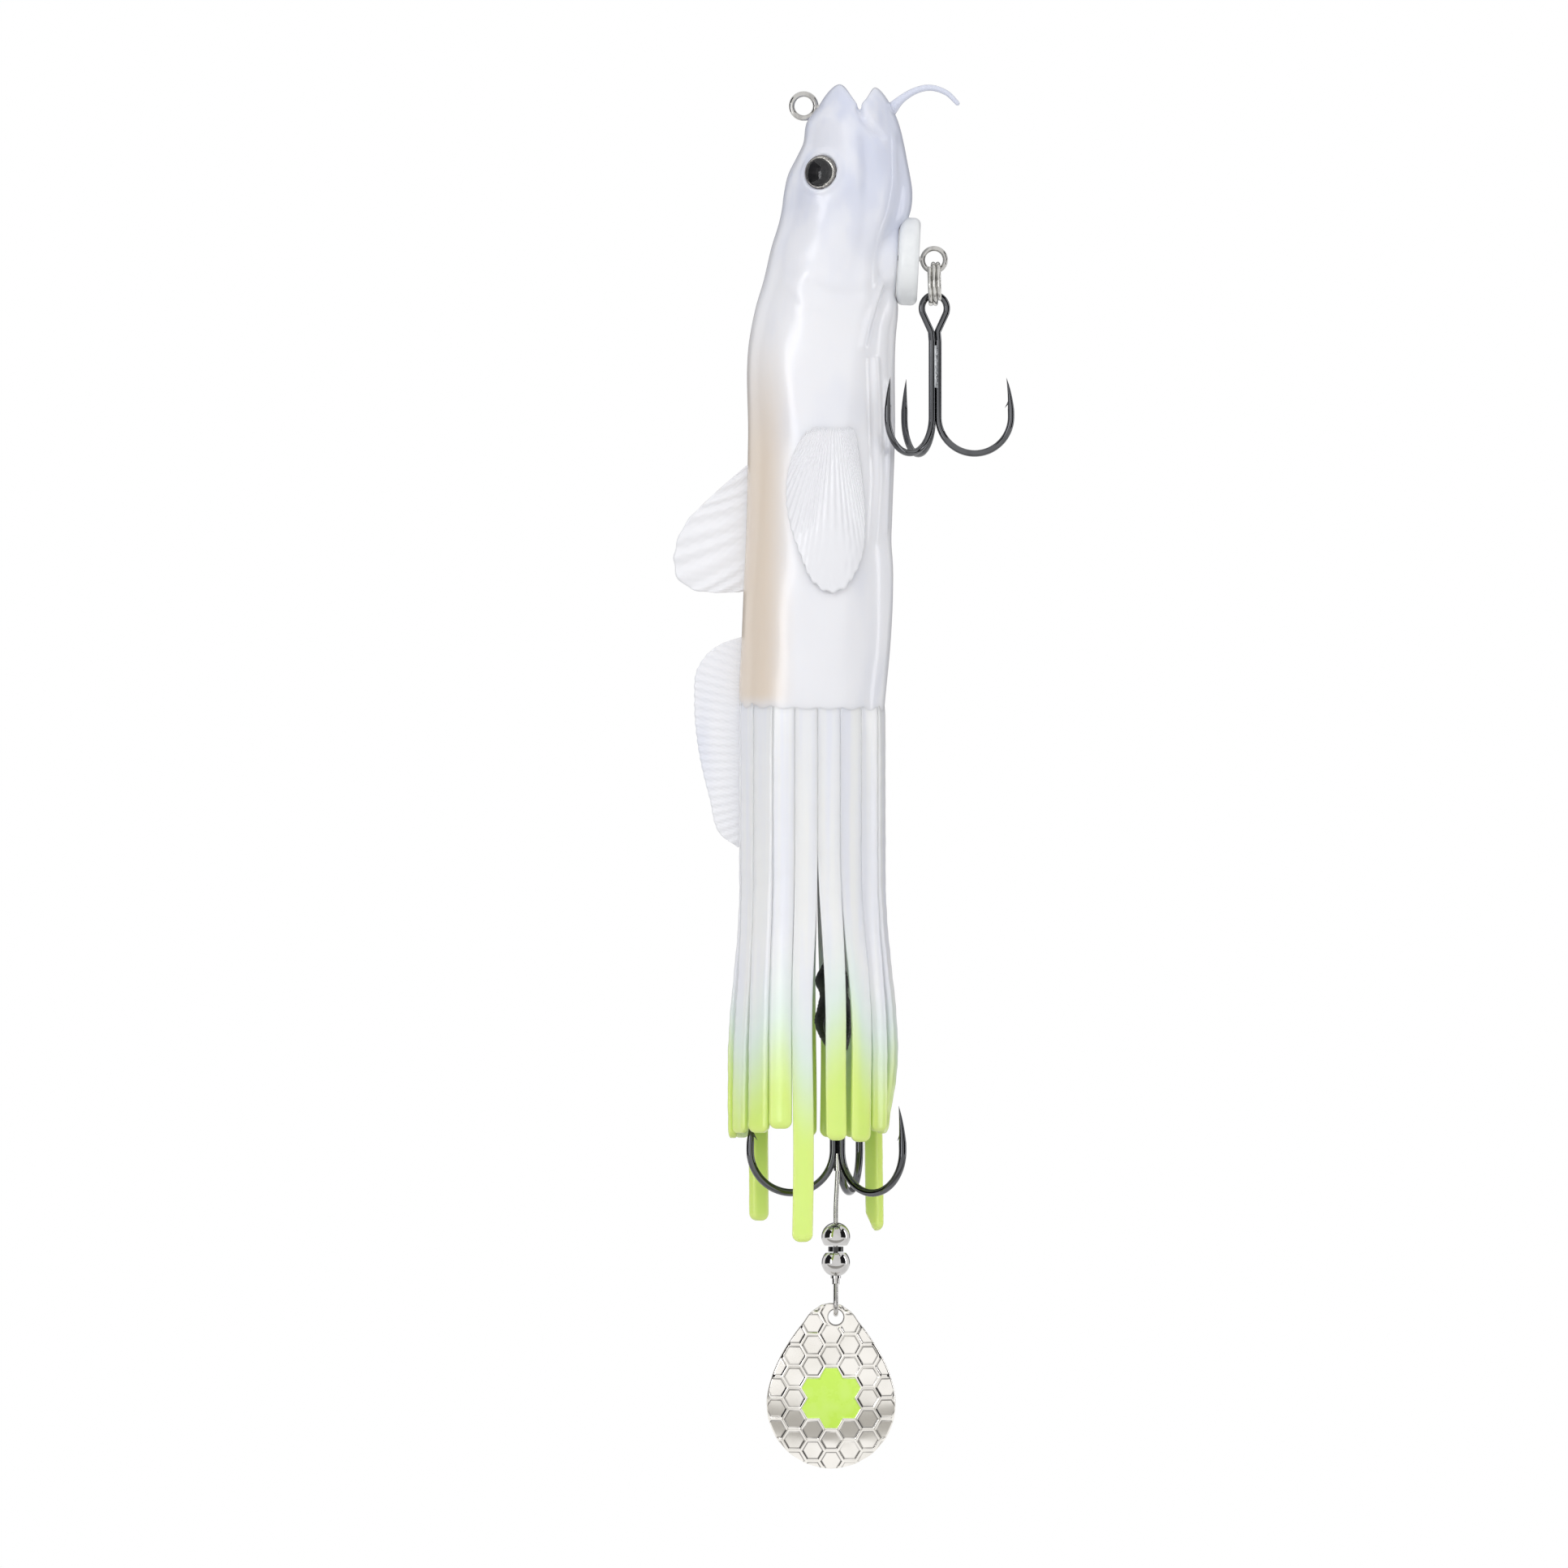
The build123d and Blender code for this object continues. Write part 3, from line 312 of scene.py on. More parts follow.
def body_surface():
    """Level ellipses. The nose is a dome whose height falls by a power of its radius; two sloping planes
    cut the mouth with rounded lips. Folds, ridges and sockets push the skin out or in, and a flat seat
    under the chin meets the disc."""
    columns = 220
    turn = full_turn(columns)
    nose_share = np.linspace(0.01, 1, 115)[:-1]
    foot = BODY_END - BODY_LAP
    heights = np.concatenate([np.arange(0, -66, -0.4), np.arange(-66.8, foot, -0.8), [foot]])
    sides = through(BODY_SIDES, heights)
    nose = np.repeat(through(BODY_SIDES, np.array([0.0])), len(nose_share), axis=0)
    back, belly, width = np.concatenate([nose, sides]).T
    share = np.concatenate([nose_share, np.ones(len(heights))])[:, None]
    middle = ((back + belly) / 2)[:, None] * share + NOSE_MIDDLE * (1 - share)
    x = middle + ((belly - back) / 2)[:, None] * share * np.cos(turn)
    y = width[:, None] * share * np.sin(turn)
    level = np.concatenate([np.zeros(len(nose_share)), heights])[:, None]
    z = level + NOSE_HEIGHT * (1 - share**NOSE_BLUNTNESS)
    aside = x - MOUTH_X
    notch = MOUTH_Z + np.where(aside < 0, -aside * MOUTH_SLOPES[0], aside * MOUTH_SLOPES[1])
    notch = notch - 3.0 * np.exp(-((y / 4.5) ** 2)) * np.exp(-((aside / 2.0) ** 2))
    cut = -LIP_SOFTNESS * np.log(np.exp(-z / LIP_SOFTNESS) + np.exp(-notch / LIP_SOFTNESS))
    z = np.where(z > -3, cut + (z - cut) * smooth(-z, 1.0, 3.0), z)
    grid = np.stack([x, y, z], axis=-1)
    normal = outward(grid)
    flank = smooth(np.abs(y), 2.0, 6.0)
    jaw = smooth(np.abs(y), 4.0, 8.5)
    push = np.zeros_like(x)
    for line, shift_x, shift_z, ridge_width, rise, fade, jaw_only in SKIN_RIDGES:
        ridge = ridge_along(x - shift_x, z - shift_z, line, ridge_width, rise, fade)
        push += ridge * jaw if jaw_only else ridge
    swell = np.sin(z * 0.16 + 1.3 * np.sin(x * 0.24)) * np.sin(x * 0.25 + 0.6 + z * 0.03)
    push += 0.2 * swell * smooth(-z, 8, 40) * smooth(-z, 156, 146)
    grid = grid + normal * (push * flank)[..., None]
    for side in (1, -1):
        centre = np.array(EYE_CENTRE) * (1, side, 1)
        facing = np.array(EYE_FACING) * (1, side, 1)
        facing = facing / np.linalg.norm(facing)
        away = grid - centre
        up = away @ facing
        radius = np.linalg.norm(away - up[..., None] * facing, axis=-1)
        near = (radius < 9) & (up > -7)
        inside = smooth(-radius, -EYE_RADIUS - 0.35, -EYE_RADIUS - 0.05)
        rim = 0.5 * np.exp(-(((radius - EYE_RADIUS - 0.9) / 0.9) ** 2))
        grid = grid + facing * (near * (inside * (SOCKET_FLOOR - up) + (1 - inside) * rim))[..., None]
    x, y, z = grid[..., 0], grid[..., 1], grid[..., 2]
    seat = SEAT_X + (z - SEAT_Z) * SEAT_SLOPE
    near = smooth(SEAT_RADIUS - np.hypot(y, z - SEAT_Z), 0, 2.2) * (x > 15)
    grid[..., 0] = x + (seat - x) * near
    lip = grid[-1:] * (0.94, 0.94, 1) + (0.06 * 2.1, 0, -0.6)
    return np.concatenate([grid, lip])


def mixed(nodes, links, factor, first, second):
    """A colour mix of plain or linked colours by a linked factor."""
    mix = nodes.new("ShaderNodeMix")
    mix.data_type = "RGBA"
    links.new(factor, mix.inputs["Factor"])
    for socket, value in (("A", first), ("B", second)):
        if isinstance(value, tuple):
            mix.inputs[socket].default_value = value
        else:
            links.new(value, mix.inputs[socket])
    return mix.outputs["Result"]


def graded(nodes, links, source, low, high):
    """A smooth 0 to 1 grade of a value between two limits."""
    grade = nodes.new("ShaderNodeMapRange")
    grade.interpolation_type = "SMOOTHSTEP"
    grade.inputs["From Min"].default_value = low
    grade.inputs["From Max"].default_value = high
    links.new(source, grade.inputs["Value"])
    return grade.outputs["Result"]


def sums(nodes, links, operation, first, second):
    """Two values, linked or plain, through one arithmetic step."""
    step = nodes.new("ShaderNodeMath")
    step.operation = operation
    for socket, value in enumerate((first, second)):
        if isinstance(value, (int, float)):
            step.inputs[socket].default_value = value
        else:
            links.new(value, step.inputs[socket])
    return step.outputs[0]


def grain(nodes, links, place, scale, detail=3.0, stretch=(1, 1, 1)):
    """Noise on object coordinates, stretched per axis."""
    mapping = nodes.new("ShaderNodeMapping")
    mapping.inputs["Scale"].default_value = stretch
    links.new(place, mapping.inputs["Vector"])
    texture = nodes.new("ShaderNodeTexNoise")
    texture.inputs["Scale"].default_value = scale
    texture.inputs["Detail"].default_value = detail
    links.new(mapping.outputs["Vector"], texture.inputs["Vector"])
    return texture.outputs["Fac"]


def bumped(nodes, links, height, shader, strength, distance):
    """Adds a bump to a shader's normal."""
    bump = nodes.new("ShaderNodeBump")
    bump.inputs["Strength"].default_value = strength
    bump.inputs["Distance"].default_value = distance
    links.new(height, bump.inputs["Height"])
    links.new(bump.outputs["Normal"], shader.inputs["Normal"])


PEARL = (0.86, 0.862, 0.885, 1)
PEARL_COOL_AND_SHADE = (0.66, 0.69, 0.80, 1)
STRAND_SHADE, STRAND_IVORY = (0.83, 0.84, 0.895, 1), (0.90, 0.90, 0.88, 1)
BEIGE = (0.80, 0.70, 0.59, 1)
MINT = (0.74, 0.87, 0.78, 1)
CHARTREUSE = (0.72, 0.93, 0.24, 1)
MINT_SPAN = (-0.180, -0.205)
TIP_SPAN = (-0.195, -0.221)
BEIGE_SPAN = (-0.0010, -0.0110)


def pearl_plastic(name, beige=0.0, tips=False, cool=(0.5, 0.8), bump=0.2, milk=0.5):
    """Soft pearl plastic: milky colour with cool clouds, a cooler, darker tone in patches over the head,
    painted shade in the cool colour on the belly side of the head, a beige back, streaked strands whose tips
    turn mint and then yellow-green, and a wet gloss."""
    material = bpy.data.materials.new(name)
    material.use_nodes = True
    nodes, links = material.node_tree.nodes, material.node_tree.links
    shader = nodes["Principled BSDF"]
    place = nodes.new("ShaderNodeTexCoord").outputs["Object"]
    split = nodes.new("ShaderNodeSeparateXYZ")
    links.new(place, split.inputs[0])
    clouds = graded(nodes, links, grain(nodes, links, place, 55, 2.0, (1, 1, 0.35)), *cool)
    head = graded(nodes, links, split.outputs["Z"], -0.060, -0.010)
    patches = graded(nodes, links, grain(nodes, links, place, 120, 2.0, (1, 1, 0.5)), 0.38, 0.62)
    patches = sums(nodes, links, "ADD", sums(nodes, links, "MULTIPLY", patches, 0.55), 0.4)
    head = sums(nodes, links, "MULTIPLY", head, patches)
    # Painted shade: the cool colour over the jaw on the belly side, which turns away from the light.
    jaw = graded(nodes, links, split.outputs["X"], 0.016, 0.024)
    jaw = sums(nodes, links, "MULTIPLY", jaw, graded(nodes, links, split.outputs["Z"], -0.046, -0.030))
    cool_and_shade = sums(nodes, links, "MAXIMUM", clouds, sums(nodes, links, "MAXIMUM", head, jaw))
    colour = mixed(nodes, links, cool_and_shade, PEARL, PEARL_COOL_AND_SHADE)
    if beige:
        back = graded(nodes, links, split.outputs["X"], *BEIGE_SPAN)
        low = graded(nodes, links, split.outputs["Z"], -0.050, -0.095)
        end = graded(nodes, links, split.outputs["Z"], -0.1575, -0.1515)
        amount = sums(nodes, links, "MULTIPLY", back, sums(nodes, links, "MULTIPLY", low, end))
        colour = mixed(nodes, links, sums(nodes, links, "MULTIPLY", amount, beige), colour, BEIGE)
    if tips:
        streaks = graded(nodes, links, grain(nodes, links, place, 260, 2.0, (1, 1, 0.04)), 0.35, 0.65)
        colour = mixed(nodes, links, streaks, STRAND_SHADE, STRAND_IVORY)
        wander = sums(nodes, links, "MULTIPLY", grain(nodes, links, place, 70, 1.0, (1, 1, 0.04)), 0.09)
        height = sums(nodes, links, "ADD", wander, split.outputs["Z"])
        for tint, (start, end) in ((MINT, MINT_SPAN), (CHARTREUSE, TIP_SPAN)):
            colour = mixed(nodes, links, graded(nodes, links, height, start, end), colour, tint)
    links.new(colour, shader.inputs["Base Color"])
    shader.inputs["Roughness"].default_value = 0.26
    shader.inputs["Specular IOR Level"].default_value = 0.5
    shader.inputs["Subsurface Weight"].default_value = milk
    shader.inputs["Subsurface Radius"].default_value = (1.0, 0.95, 0.9)
    shader.inputs["Subsurface Scale"].default_value = 0.003
    shader.inputs["Coat Weight"].default_value = 0.25
    shader.inputs["Coat Roughness"].default_value = 0.12
    fine = grain(nodes, links, place, 150, 4.0, (1, 1, 0.3))
    bumped(nodes, links, fine, shader, bump, 0.0006)
    return material


body = closed_tube("body_skin", body_surface(), pearl_plastic("body_pearl", beige=1.0), "root")
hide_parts("body_moulding")


# ---- Eyes: in each socket a foil disc and a domed black pupil lie under a clear moulded dome. The pupil
# sits forward of the foil's centre, so that a pale crescent shows behind it. A thin dark ring round each
# eye is painted socket shadow.

SHADOW_RING_WIRE = 0.16
PUPIL_RADIUS, PUPIL_SHIFT = 3.45, -0.68
PUPIL_FOOT, PUPIL_RISE = -1.0, 1.5
INK = (0.012, 0.012, 0.014, 1)


def finish(name, colour, metal=0.0, rough=0.3, second=None, scale=300, stretch=(1, 1, 1), bump=0.0, coat=0.0):
    """A plain finish with a second colour in soft patches, uneven roughness and a fine bump."""
    material = bpy.data.materials.new(name)
    material.use_nodes = True
    nodes, links = material.node_tree.nodes, material.node_tree.links
    shader = nodes["Principled BSDF"]
    place = nodes.new("ShaderNodeTexCoord").outputs["Object"]
    patches = graded(nodes, links, grain(nodes, links, place, scale, 4.0, stretch), 0.40, 0.68)
    links.new(mixed(nodes, links, patches, colour, second or colour), shader.inputs["Base Color"])
    uneven = nodes.new("ShaderNodeMapRange")
    uneven.inputs["To Min"].default_value = rough * 0.75
    uneven.inputs["To Max"].default_value = rough * 1.3
    links.new(patches, uneven.inputs["Value"])
    links.new(uneven.outputs["Result"], shader.inputs["Roughness"])
    shader.inputs["Metallic"].default_value = metal
    shader.inputs["Coat Weight"].default_value = coat
    shader.inputs["Coat Roughness"].default_value = 0.05
    if bump:
        bumped(nodes, links, grain(nodes, links, place, scale * 3, 3.0, stretch), shader, bump, 0.0002)
    return material


def clear_dome():
    """Clear hard plastic with a faint grey cast in patches and slightly uneven roughness."""
    clear, cloudy = (0.97, 0.975, 0.98, 1), (0.94, 0.945, 0.95, 1)
    material = finish("clear_dome", clear, rough=0.03, second=cloudy, scale=120)
    shader = material.node_tree.nodes["Principled BSDF"]
    shader.inputs["Transmission Weight"].default_value = 1.0
    shader.inputs["IOR"].default_value = 1.4
    shader.inputs["Specular IOR Level"].default_value = 0.2
    return material


def refinish(nodes_named, material):
    """Gives CAD pieces a finish in every slot."""
    for node in nodes_named:
        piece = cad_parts[node]
        piece.data.materials.clear()
        piece.data.materials.append(material)


def ring_surface(centre, normal, radius, wire, steps=96, sides=14):
    """A closed ring: a small circle carried round a large one, returned as rings of points."""
    normal = np.array(normal, float) / np.linalg.norm(normal)
    first = np.cross(normal, (0.0, 0.0, 1.0) if abs(normal[2]) < 0.9 else (1.0, 0.0, 0.0))
    first = first / np.linalg.norm(first)
    second = np.cross(normal, first)
    big = full_turn(steps)[:, None, None]
    small = full_turn(sides)[None, :, None]
    spoke = first * np.cos(big) + second * np.sin(big)
    return np.array(centre, float) + spoke * (radius + wire * np.cos(small)) + normal * wire * np.sin(small)


def closed_ring(name, grid, material, body):
    """A skin from rings of points where the last ring joins the first."""
    rows, columns = grid.shape[:2]
    row, column = np.meshgrid(np.arange(rows), np.arange(columns), indexing="ij")
    after, beside = (row + 1) % rows, (column + 1) % columns
    row, after = row * columns, after * columns
    corners = np.stack([row + column, row + beside, after + beside, after + column], axis=-1)
    mesh = bpy.data.meshes.new(name)
    mesh.from_pydata((grid.reshape(-1, 3) * MM).tolist(), [], corners.reshape(-1, 4).tolist())
    mesh.polygons.foreach_set("use_smooth", np.ones(len(mesh.polygons), bool))
    mesh.update()
    mesh.materials.append(material)
    thing = bpy.data.objects.new(name, mesh)
    bpy.context.collection.objects.link(thing)
    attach(thing, body)
    return thing


def pupil_surface(side):
    """A cap whose height falls with the square of its radius, on a flat back, shifted in the eye's plane."""
    facing = np.array(EYE_FACING) * (1, side, 1)
    facing = facing / np.linalg.norm(facing)
    aside = np.cross(facing, (0, 0, 1.0))
    aside = side * aside / np.linalg.norm(aside)
    upward = np.cross(aside, facing)
    share = np.concatenate([np.linspace(0.03, 1, 30), np.linspace(1, 0.03, 8)])
    rise = np.concatenate([PUPIL_RISE * (1 - np.linspace(0.03, 1, 30) ** 2), np.full(8, -0.1)]) + PUPIL_FOOT
    turn = full_turn(72)
    spoke = np.cos(turn)[:, None] * aside + np.sin(turn)[:, None] * upward
    centre = np.array(EYE_CENTRE) * (1, side, 1) + aside * PUPIL_SHIFT
    return centre + PUPIL_RADIUS * share[:, None, None] * spoke + rise[:, None, None] * facing


eye_foil = finish("eye_foil", (0.90, 0.87, 0.82, 1), 0.6, 0.3, (0.80, 0.77, 0.72, 1), 900)
refinish(("eye_foil_left", "eye_foil_right"), eye_foil)
refinish(("eye_lens_left", "eye_lens_right"), clear_dome())
pupil_ink = finish("pupil_ink", INK, 0.0, 0.15, (0.02, 0.019, 0.02, 1), 700)
pupil_ink.node_tree.nodes["Principled BSDF"].inputs["Specular IOR Level"].default_value = 0.1
# Painted shadow: a thin dark ring laid round each eye where the socket shades it.
socket_shadow_finish = finish("rim_shadow", (0.16, 0.15, 0.15, 1), 0.0, 0.35, (0.22, 0.21, 0.21, 1), 800)
for side, word in ((1, "left"), (-1, "right")):
    pupil = closed_tube(f"domed_pupil_{word}", pupil_surface(side), pupil_ink, "root")
    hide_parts(f"eye_pupil_{word}")
    facing = np.array(EYE_FACING) * (1, side, 1)
    facing = facing / np.linalg.norm(facing)
    place = np.array(EYE_CENTRE) * (1, side, 1) - facing * 0.2
    circle = ring_surface(place, facing, EYE_RADIUS + 0.05, SHADOW_RING_WIRE)
    rim = closed_ring(f"eye_socket_shadow_{word}", circle, socket_shadow_finish, "root")


# ---- Chin barbel: a soft tapered feeler cast with the lower jaw, wide at its root, arched forward and
# down to a blunt tip, and a little see-through.

BARBEL_ROUTE = [
    (0.0, 20.2, -3.6),
    (0.12, 22.4, -1.1),
    (0.22, 24.6, 1.2),
    (0.33, 27.0, 3.0),
    (0.55, 32.0, 4.75),
    (0.78, 36.8, 3.5),
    (1.0, 40.2, 0.3),
]
BARBEL_RADII = [(0.0, 2.0), (0.12, 1.7), (0.22, 1.15), (0.33, 0.95), (0.55, 0.82), (0.78, 0.70), (1.0, 0.58)]


def wire_surface(path, radius, across, sides=20):
    """Circles carried along a path: each stands across the path, turned by a sideways guide vector."""
    along = np.gradient(path, axis=0)
    along = along / np.linalg.norm(along, axis=1, keepdims=True)
    side = np.cross(along, np.broadcast_to(np.asarray(across, float), path.shape))
    side = side / np.linalg.norm(side, axis=1, keepdims=True)
    other = np.cross(along, side)
    turn = full_turn(sides)[None, :, None]
    radius = np.broadcast_to(np.asarray(radius, float), (len(path),))[:, None, None]
    return path[:, None, :] + radius * (np.cos(turn) * side[:, None, :] + np.sin(turn) * other[:, None, :])


def run_length(points):
    """How far along a chain of points each one lies."""
    return np.concatenate([[0], np.cumsum(np.linalg.norm(np.diff(points, axis=0), axis=1))])


def rounded_end(path, radius, cap):
    """Radii that shrink to a round end over the last stretch of a path, as a quarter circle does."""
    length = run_length(path)
    left = np.clip((length[-1] - length) / cap, 0.02, 1)
    return radius * np.sqrt(1 - (1 - left) ** 2)


share = np.concatenate([np.linspace(0, 0.97, 60), np.linspace(0.975, 1, 14)])
barbel_path = through(BARBEL_ROUTE, share)
barbel_path = np.stack([barbel_path[:, 0], np.zeros(len(share)), barbel_path[:, 1]], axis=-1)
barbel_radii = rounded_end(barbel_path, through(BARBEL_RADII, share)[:, 0], 0.6)
feeler_pearl = pearl_plastic("feeler_pearl", cool=(0.1, 0.3), bump=0.02, milk=0.2)
barbel = closed_tube("chin_feeler", wire_surface(barbel_path, barbel_radii, (0, 1, 0)), feeler_pearl)
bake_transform(barbel)
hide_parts("chin_barbel")


# ---- Line tie and harness: a bright wire eye at the nose whose legs run into a hard core inside the
# head, a ballast, and a wire harness crimped to the tail leader. All but the eye lies in the casting.

BRIGHT, BRIGHT_DARK = (0.56, 0.55, 0.53, 1), (0.42, 0.41, 0.40, 1)
stainless = finish("bright_wire", BRIGHT, 1.0, 0.14, BRIGHT_DARK, 500, (1, 1, 0.4), 0.12)
brass = finish("crimp_brass_finish", (0.72, 0.52, 0.26, 1), 1.0, 0.3, (0.60, 0.42, 0.20, 1), 700)
refinish(("line_tie", "harness_wire", "belly_eye"), stainless)
refinish(("eye_insert", "tail_crimp"), brass)
refinish(("ferrule",), stainless)
HIDDEN_FINISHES = {
    # node: name, colour, second colour, metal, roughness, scale, stretch down Z, bump
    "tail_leader": ("leader", (0.20, 0.20, 0.19, 1), (0.12, 0.12, 0.11, 1), 0.9, 0.35, 1500, 0.2, 0.3),
    "leader_loop": ("loop", (0.22, 0.22, 0.21, 1), (0.14, 0.14, 0.13, 1), 0.9, 0.35, 1500, 0.2, 0.3),
    "head_core": ("core_plastic", (0.70, 0.70, 0.68, 1), (0.62, 0.62, 0.60, 1), 0.0, 0.5, 400, 1, 0.2),
    "belly_weight": ("ballast", (0.32, 0.32, 0.33, 1), (0.24, 0.24, 0.25, 1), 1.0, 0.55, 600, 1, 0.4),
}
for node, (name, colour, second, metal, rough, scale, long, bump) in HIDDEN_FINISHES.items():
    refinish((node,), finish(f"{name}_finish", colour, metal, rough, second, scale, (1, 1, long), bump))


# ---- Back fins: thin castings in the same plastic. Rays run from the root to a scalloped margin as
# rounded ridges on both faces.

FIN_HALF_THICKNESS = 0.75
FIRST_ROOT = [(-12.0, -90.5), (-13.2, -104.0), (-14.2, -125.2)]
FIRST_MARGIN = [
    (-17.4, -95.2),
    (-24.6, -101.6),
    (-31.0, -108.6),
    (-33.6, -117.2),
    (-32.9, -121.6),
    (-29.8, -124.6),
    (-23.0, -125.9),
    (-16.8, -125.8),
]
SECOND_ROOT = [(-15.0, -137.2), (-15.2, -165.0), (-15.4, -191.0)]
SECOND_MARGIN = [
    (-16.6, -137.5),
    (-20.6, -138.8),
    (-24.6, -141.4),
    (-27.6, -145.8),
    (-28.3, -154.0),
    (-27.3, -166.0),
    (-24.4, -179.0),
    (-21.6, -188.4),
    (-17.0, -191.8),
]


def chain_at(points, length, where):
    """Points at given lengths along a chain of points."""
    columns = [np.interp(where, length, points[:, axis]) for axis in range(points.shape[1])]
    return np.stack(columns, axis=-1)


def even_points(points, share):
    """Points at shares of the length of a smooth curve through a list of points."""
    points = np.array(points, float)
    chord = run_length(points)
    fine = through(np.column_stack([chord, points]), np.linspace(0, chord[-1], 2000))
    length = run_length(fine)
    return chain_at(fine, length, share * length[-1])


def fin_sheet(root, margin, rays, relief, scallop, bend, rows):
    """Straight rays between even points of a root curve and a margin curve, bowed by a sine of their length.
    Each ray's ridge is a cosine across the fin; the two faces make one closed ring per row."""
    share = np.linspace(0, 1, rows)
    inner, outer = even_points(root, share), even_points(margin, share)
    out = np.linspace(0, 1, 44)
    phase = 2 * math.pi * rays * share + 0.5 * np.sin(share * 23)
    wave = np.cos(phase)
    reach = out[None, :] * (1 + scallop * wave[:, None] * out[None, :] ** 3)
    run = outer - inner
    flat = inner[:, None, :] + run[:, None, :] * reach[..., None]
    bow = bend * np.sin(out * math.pi)[None, :] * np.linalg.norm(run, axis=1)[:, None]
    flat[..., 1] -= bow
    edge = smooth(share, 0, 0.03) * smooth(1 - share, 0, 0.03)
    swell = relief * wave[:, None] * np.sin(np.clip(out * 1.2, 0, 1) * math.pi * 0.6)[None, :]
    ripple = 0.05 * np.sin(out * 31)[None, :] * np.sin(phase * 2.3)[:, None]
    plain = FIN_HALF_THICKNESS * (1 - 0.6 * out[None, :] ** 1.5)
    depth = (plain + swell + ripple) * (0.3 + 0.7 * edge[:, None])
    depth[:, -1] *= 0.3
    front = np.stack([flat[..., 0], -depth, flat[..., 1]], axis=-1)
    back = np.stack([flat[..., 0], depth, flat[..., 1]], axis=-1)[:, ::-1]
    return np.concatenate([front, back], axis=1)


fin_pearl = pearl_plastic("fin_pearl", cool=(0.5, 0.9), milk=0.3)
first_sheet = fin_sheet(FIRST_ROOT, FIRST_MARGIN, rays=9, relief=0.24, scallop=0.010, bend=0.02, rows=260)
first_fin = closed_tube("front_back_fin", first_sheet, fin_pearl)
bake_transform(first_fin)
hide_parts("first_dorsal_fin")
second_sheet = fin_sheet(SECOND_ROOT, SECOND_MARGIN, rays=27, relief=0.11, scallop=0.006, bend=0.01, rows=430)
second_fin = closed_tube("rear_back_fin", second_sheet, fin_pearl)
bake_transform(second_fin)
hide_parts("second_dorsal_fin")


# ---- Side fins: a broad thin leaf folded back along each flank, cast to the body at its root. Fine rays
# fan from the root, and the thin hind lobe stands a little off the skin.

SIDE_ROOT = [(4.4, -78.2), (7.2, -76.6), (11.4, -76.4)]
SIDE_MARGIN = [
    (2.8, -81.0),
    (-1.2, -87.0),
    (-4.0, -94.5),
    (-4.5, -102.5),
    (-3.4, -109.0),
    (-0.6, -117.0),
    (2.4, -123.2),
    (6.2, -125.9),
    (9.8, -125.3),
    (12.8, -121.8),
    (15.1, -116.2),
    (15.8, -107.5),
    (15.2, -97.5),
    (13.6, -86.0),
    (12.2, -78.0),
]
SIDE_RAYS = 34
FLANK_MIDDLE, FLANK_DEPTH, FLANK_WIDTH = 4.35, 19.9, 15.65


def side_fin_sheet(side):
    """Rays between even points of the root and the margin, laid on the flank's ellipse and lifted off it
    towards the rear; ray ridges are a cosine across the fan, faded where the hind lobe is smooth."""
    share = np.linspace(0, 1, 420)
    inner, outer = even_points(SIDE_ROOT, share), even_points(SIDE_MARGIN, share)
    out = np.linspace(0, 1, 90)
    phase = 2 * math.pi * SIDE_RAYS * share + 0.4 * np.sin(share * 31)
    wave = np.cos(phase)[:, None]
    reach = out[None, :] * (1 + 0.006 * wave * out[None, :] ** 4)
    flat = inner[:, None, :] + (outer - inner)[:, None, :] * reach[..., None]
    x, z = flat[..., 0], flat[..., 1]
    shell = FLANK_WIDTH * np.sqrt(np.clip(1 - ((x - FLANK_MIDDLE) / FLANK_DEPTH) ** 2, 0.05, 1))
    lift = -1.5 + 1.65 * smooth(-z, 76, 89) + 0.45 * smooth(-z, 90, 122)
    crown = 0.35 * np.sin(np.clip(out, 0, 1) * math.pi)[None, :] * np.sin(share * math.pi)[:, None]
    rayed = smooth(out, 0.02, 0.12)[None, :] * (0.15 + 0.85 * smooth(z, -114, -106))
    fine = 0.12 * wave * rayed
    lumps = 0.04 * np.sin(z * 1.1 + 3 * np.sin(x * 0.8)) * np.sin(x * 1.4 + 0.3 * z)
    lumps = lumps * smooth(out, 0.1, 0.3)[None, :]
    thick = 0.55 * (1 - 0.5 * out**2)[None, :] * np.ones_like(x)
    thick[:, -1] *= 0.3
    rim = np.minimum(smooth(share, 0, 0.02), smooth(1 - share, 0, 0.02))[:, None]
    outer_face = shell + lift + crown + (fine + lumps) * rim + thick * (0.3 + 0.7 * rim)
    inner_face = shell + lift + crown * 0.5 - thick * (0.3 + 0.7 * rim)
    inner_face = np.minimum(inner_face, outer_face - 0.1)
    front = np.stack([x, side * outer_face, z], axis=-1)
    back = np.stack([x, side * inner_face, z], axis=-1)[:, ::-1]
    return np.concatenate([front, back], axis=1)


side_pearl = pearl_plastic("side_fin_pearl", cool=(0.6, 0.9), bump=0.03, milk=0.1)
for side, word in ((1, "left"), (-1, "right")):
    leaf = closed_tube(f"side_fin_{word}", side_fin_sheet(side), side_pearl)
    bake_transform(leaf)
    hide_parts(f"pectoral_fin_{word}")


# ---- Skirt: the tail slit into soft strands, each a flat strip with rounded corners that hangs from the
# body's end, pearl above and yellow-green at the tips. Three run long, and one of those is torn.

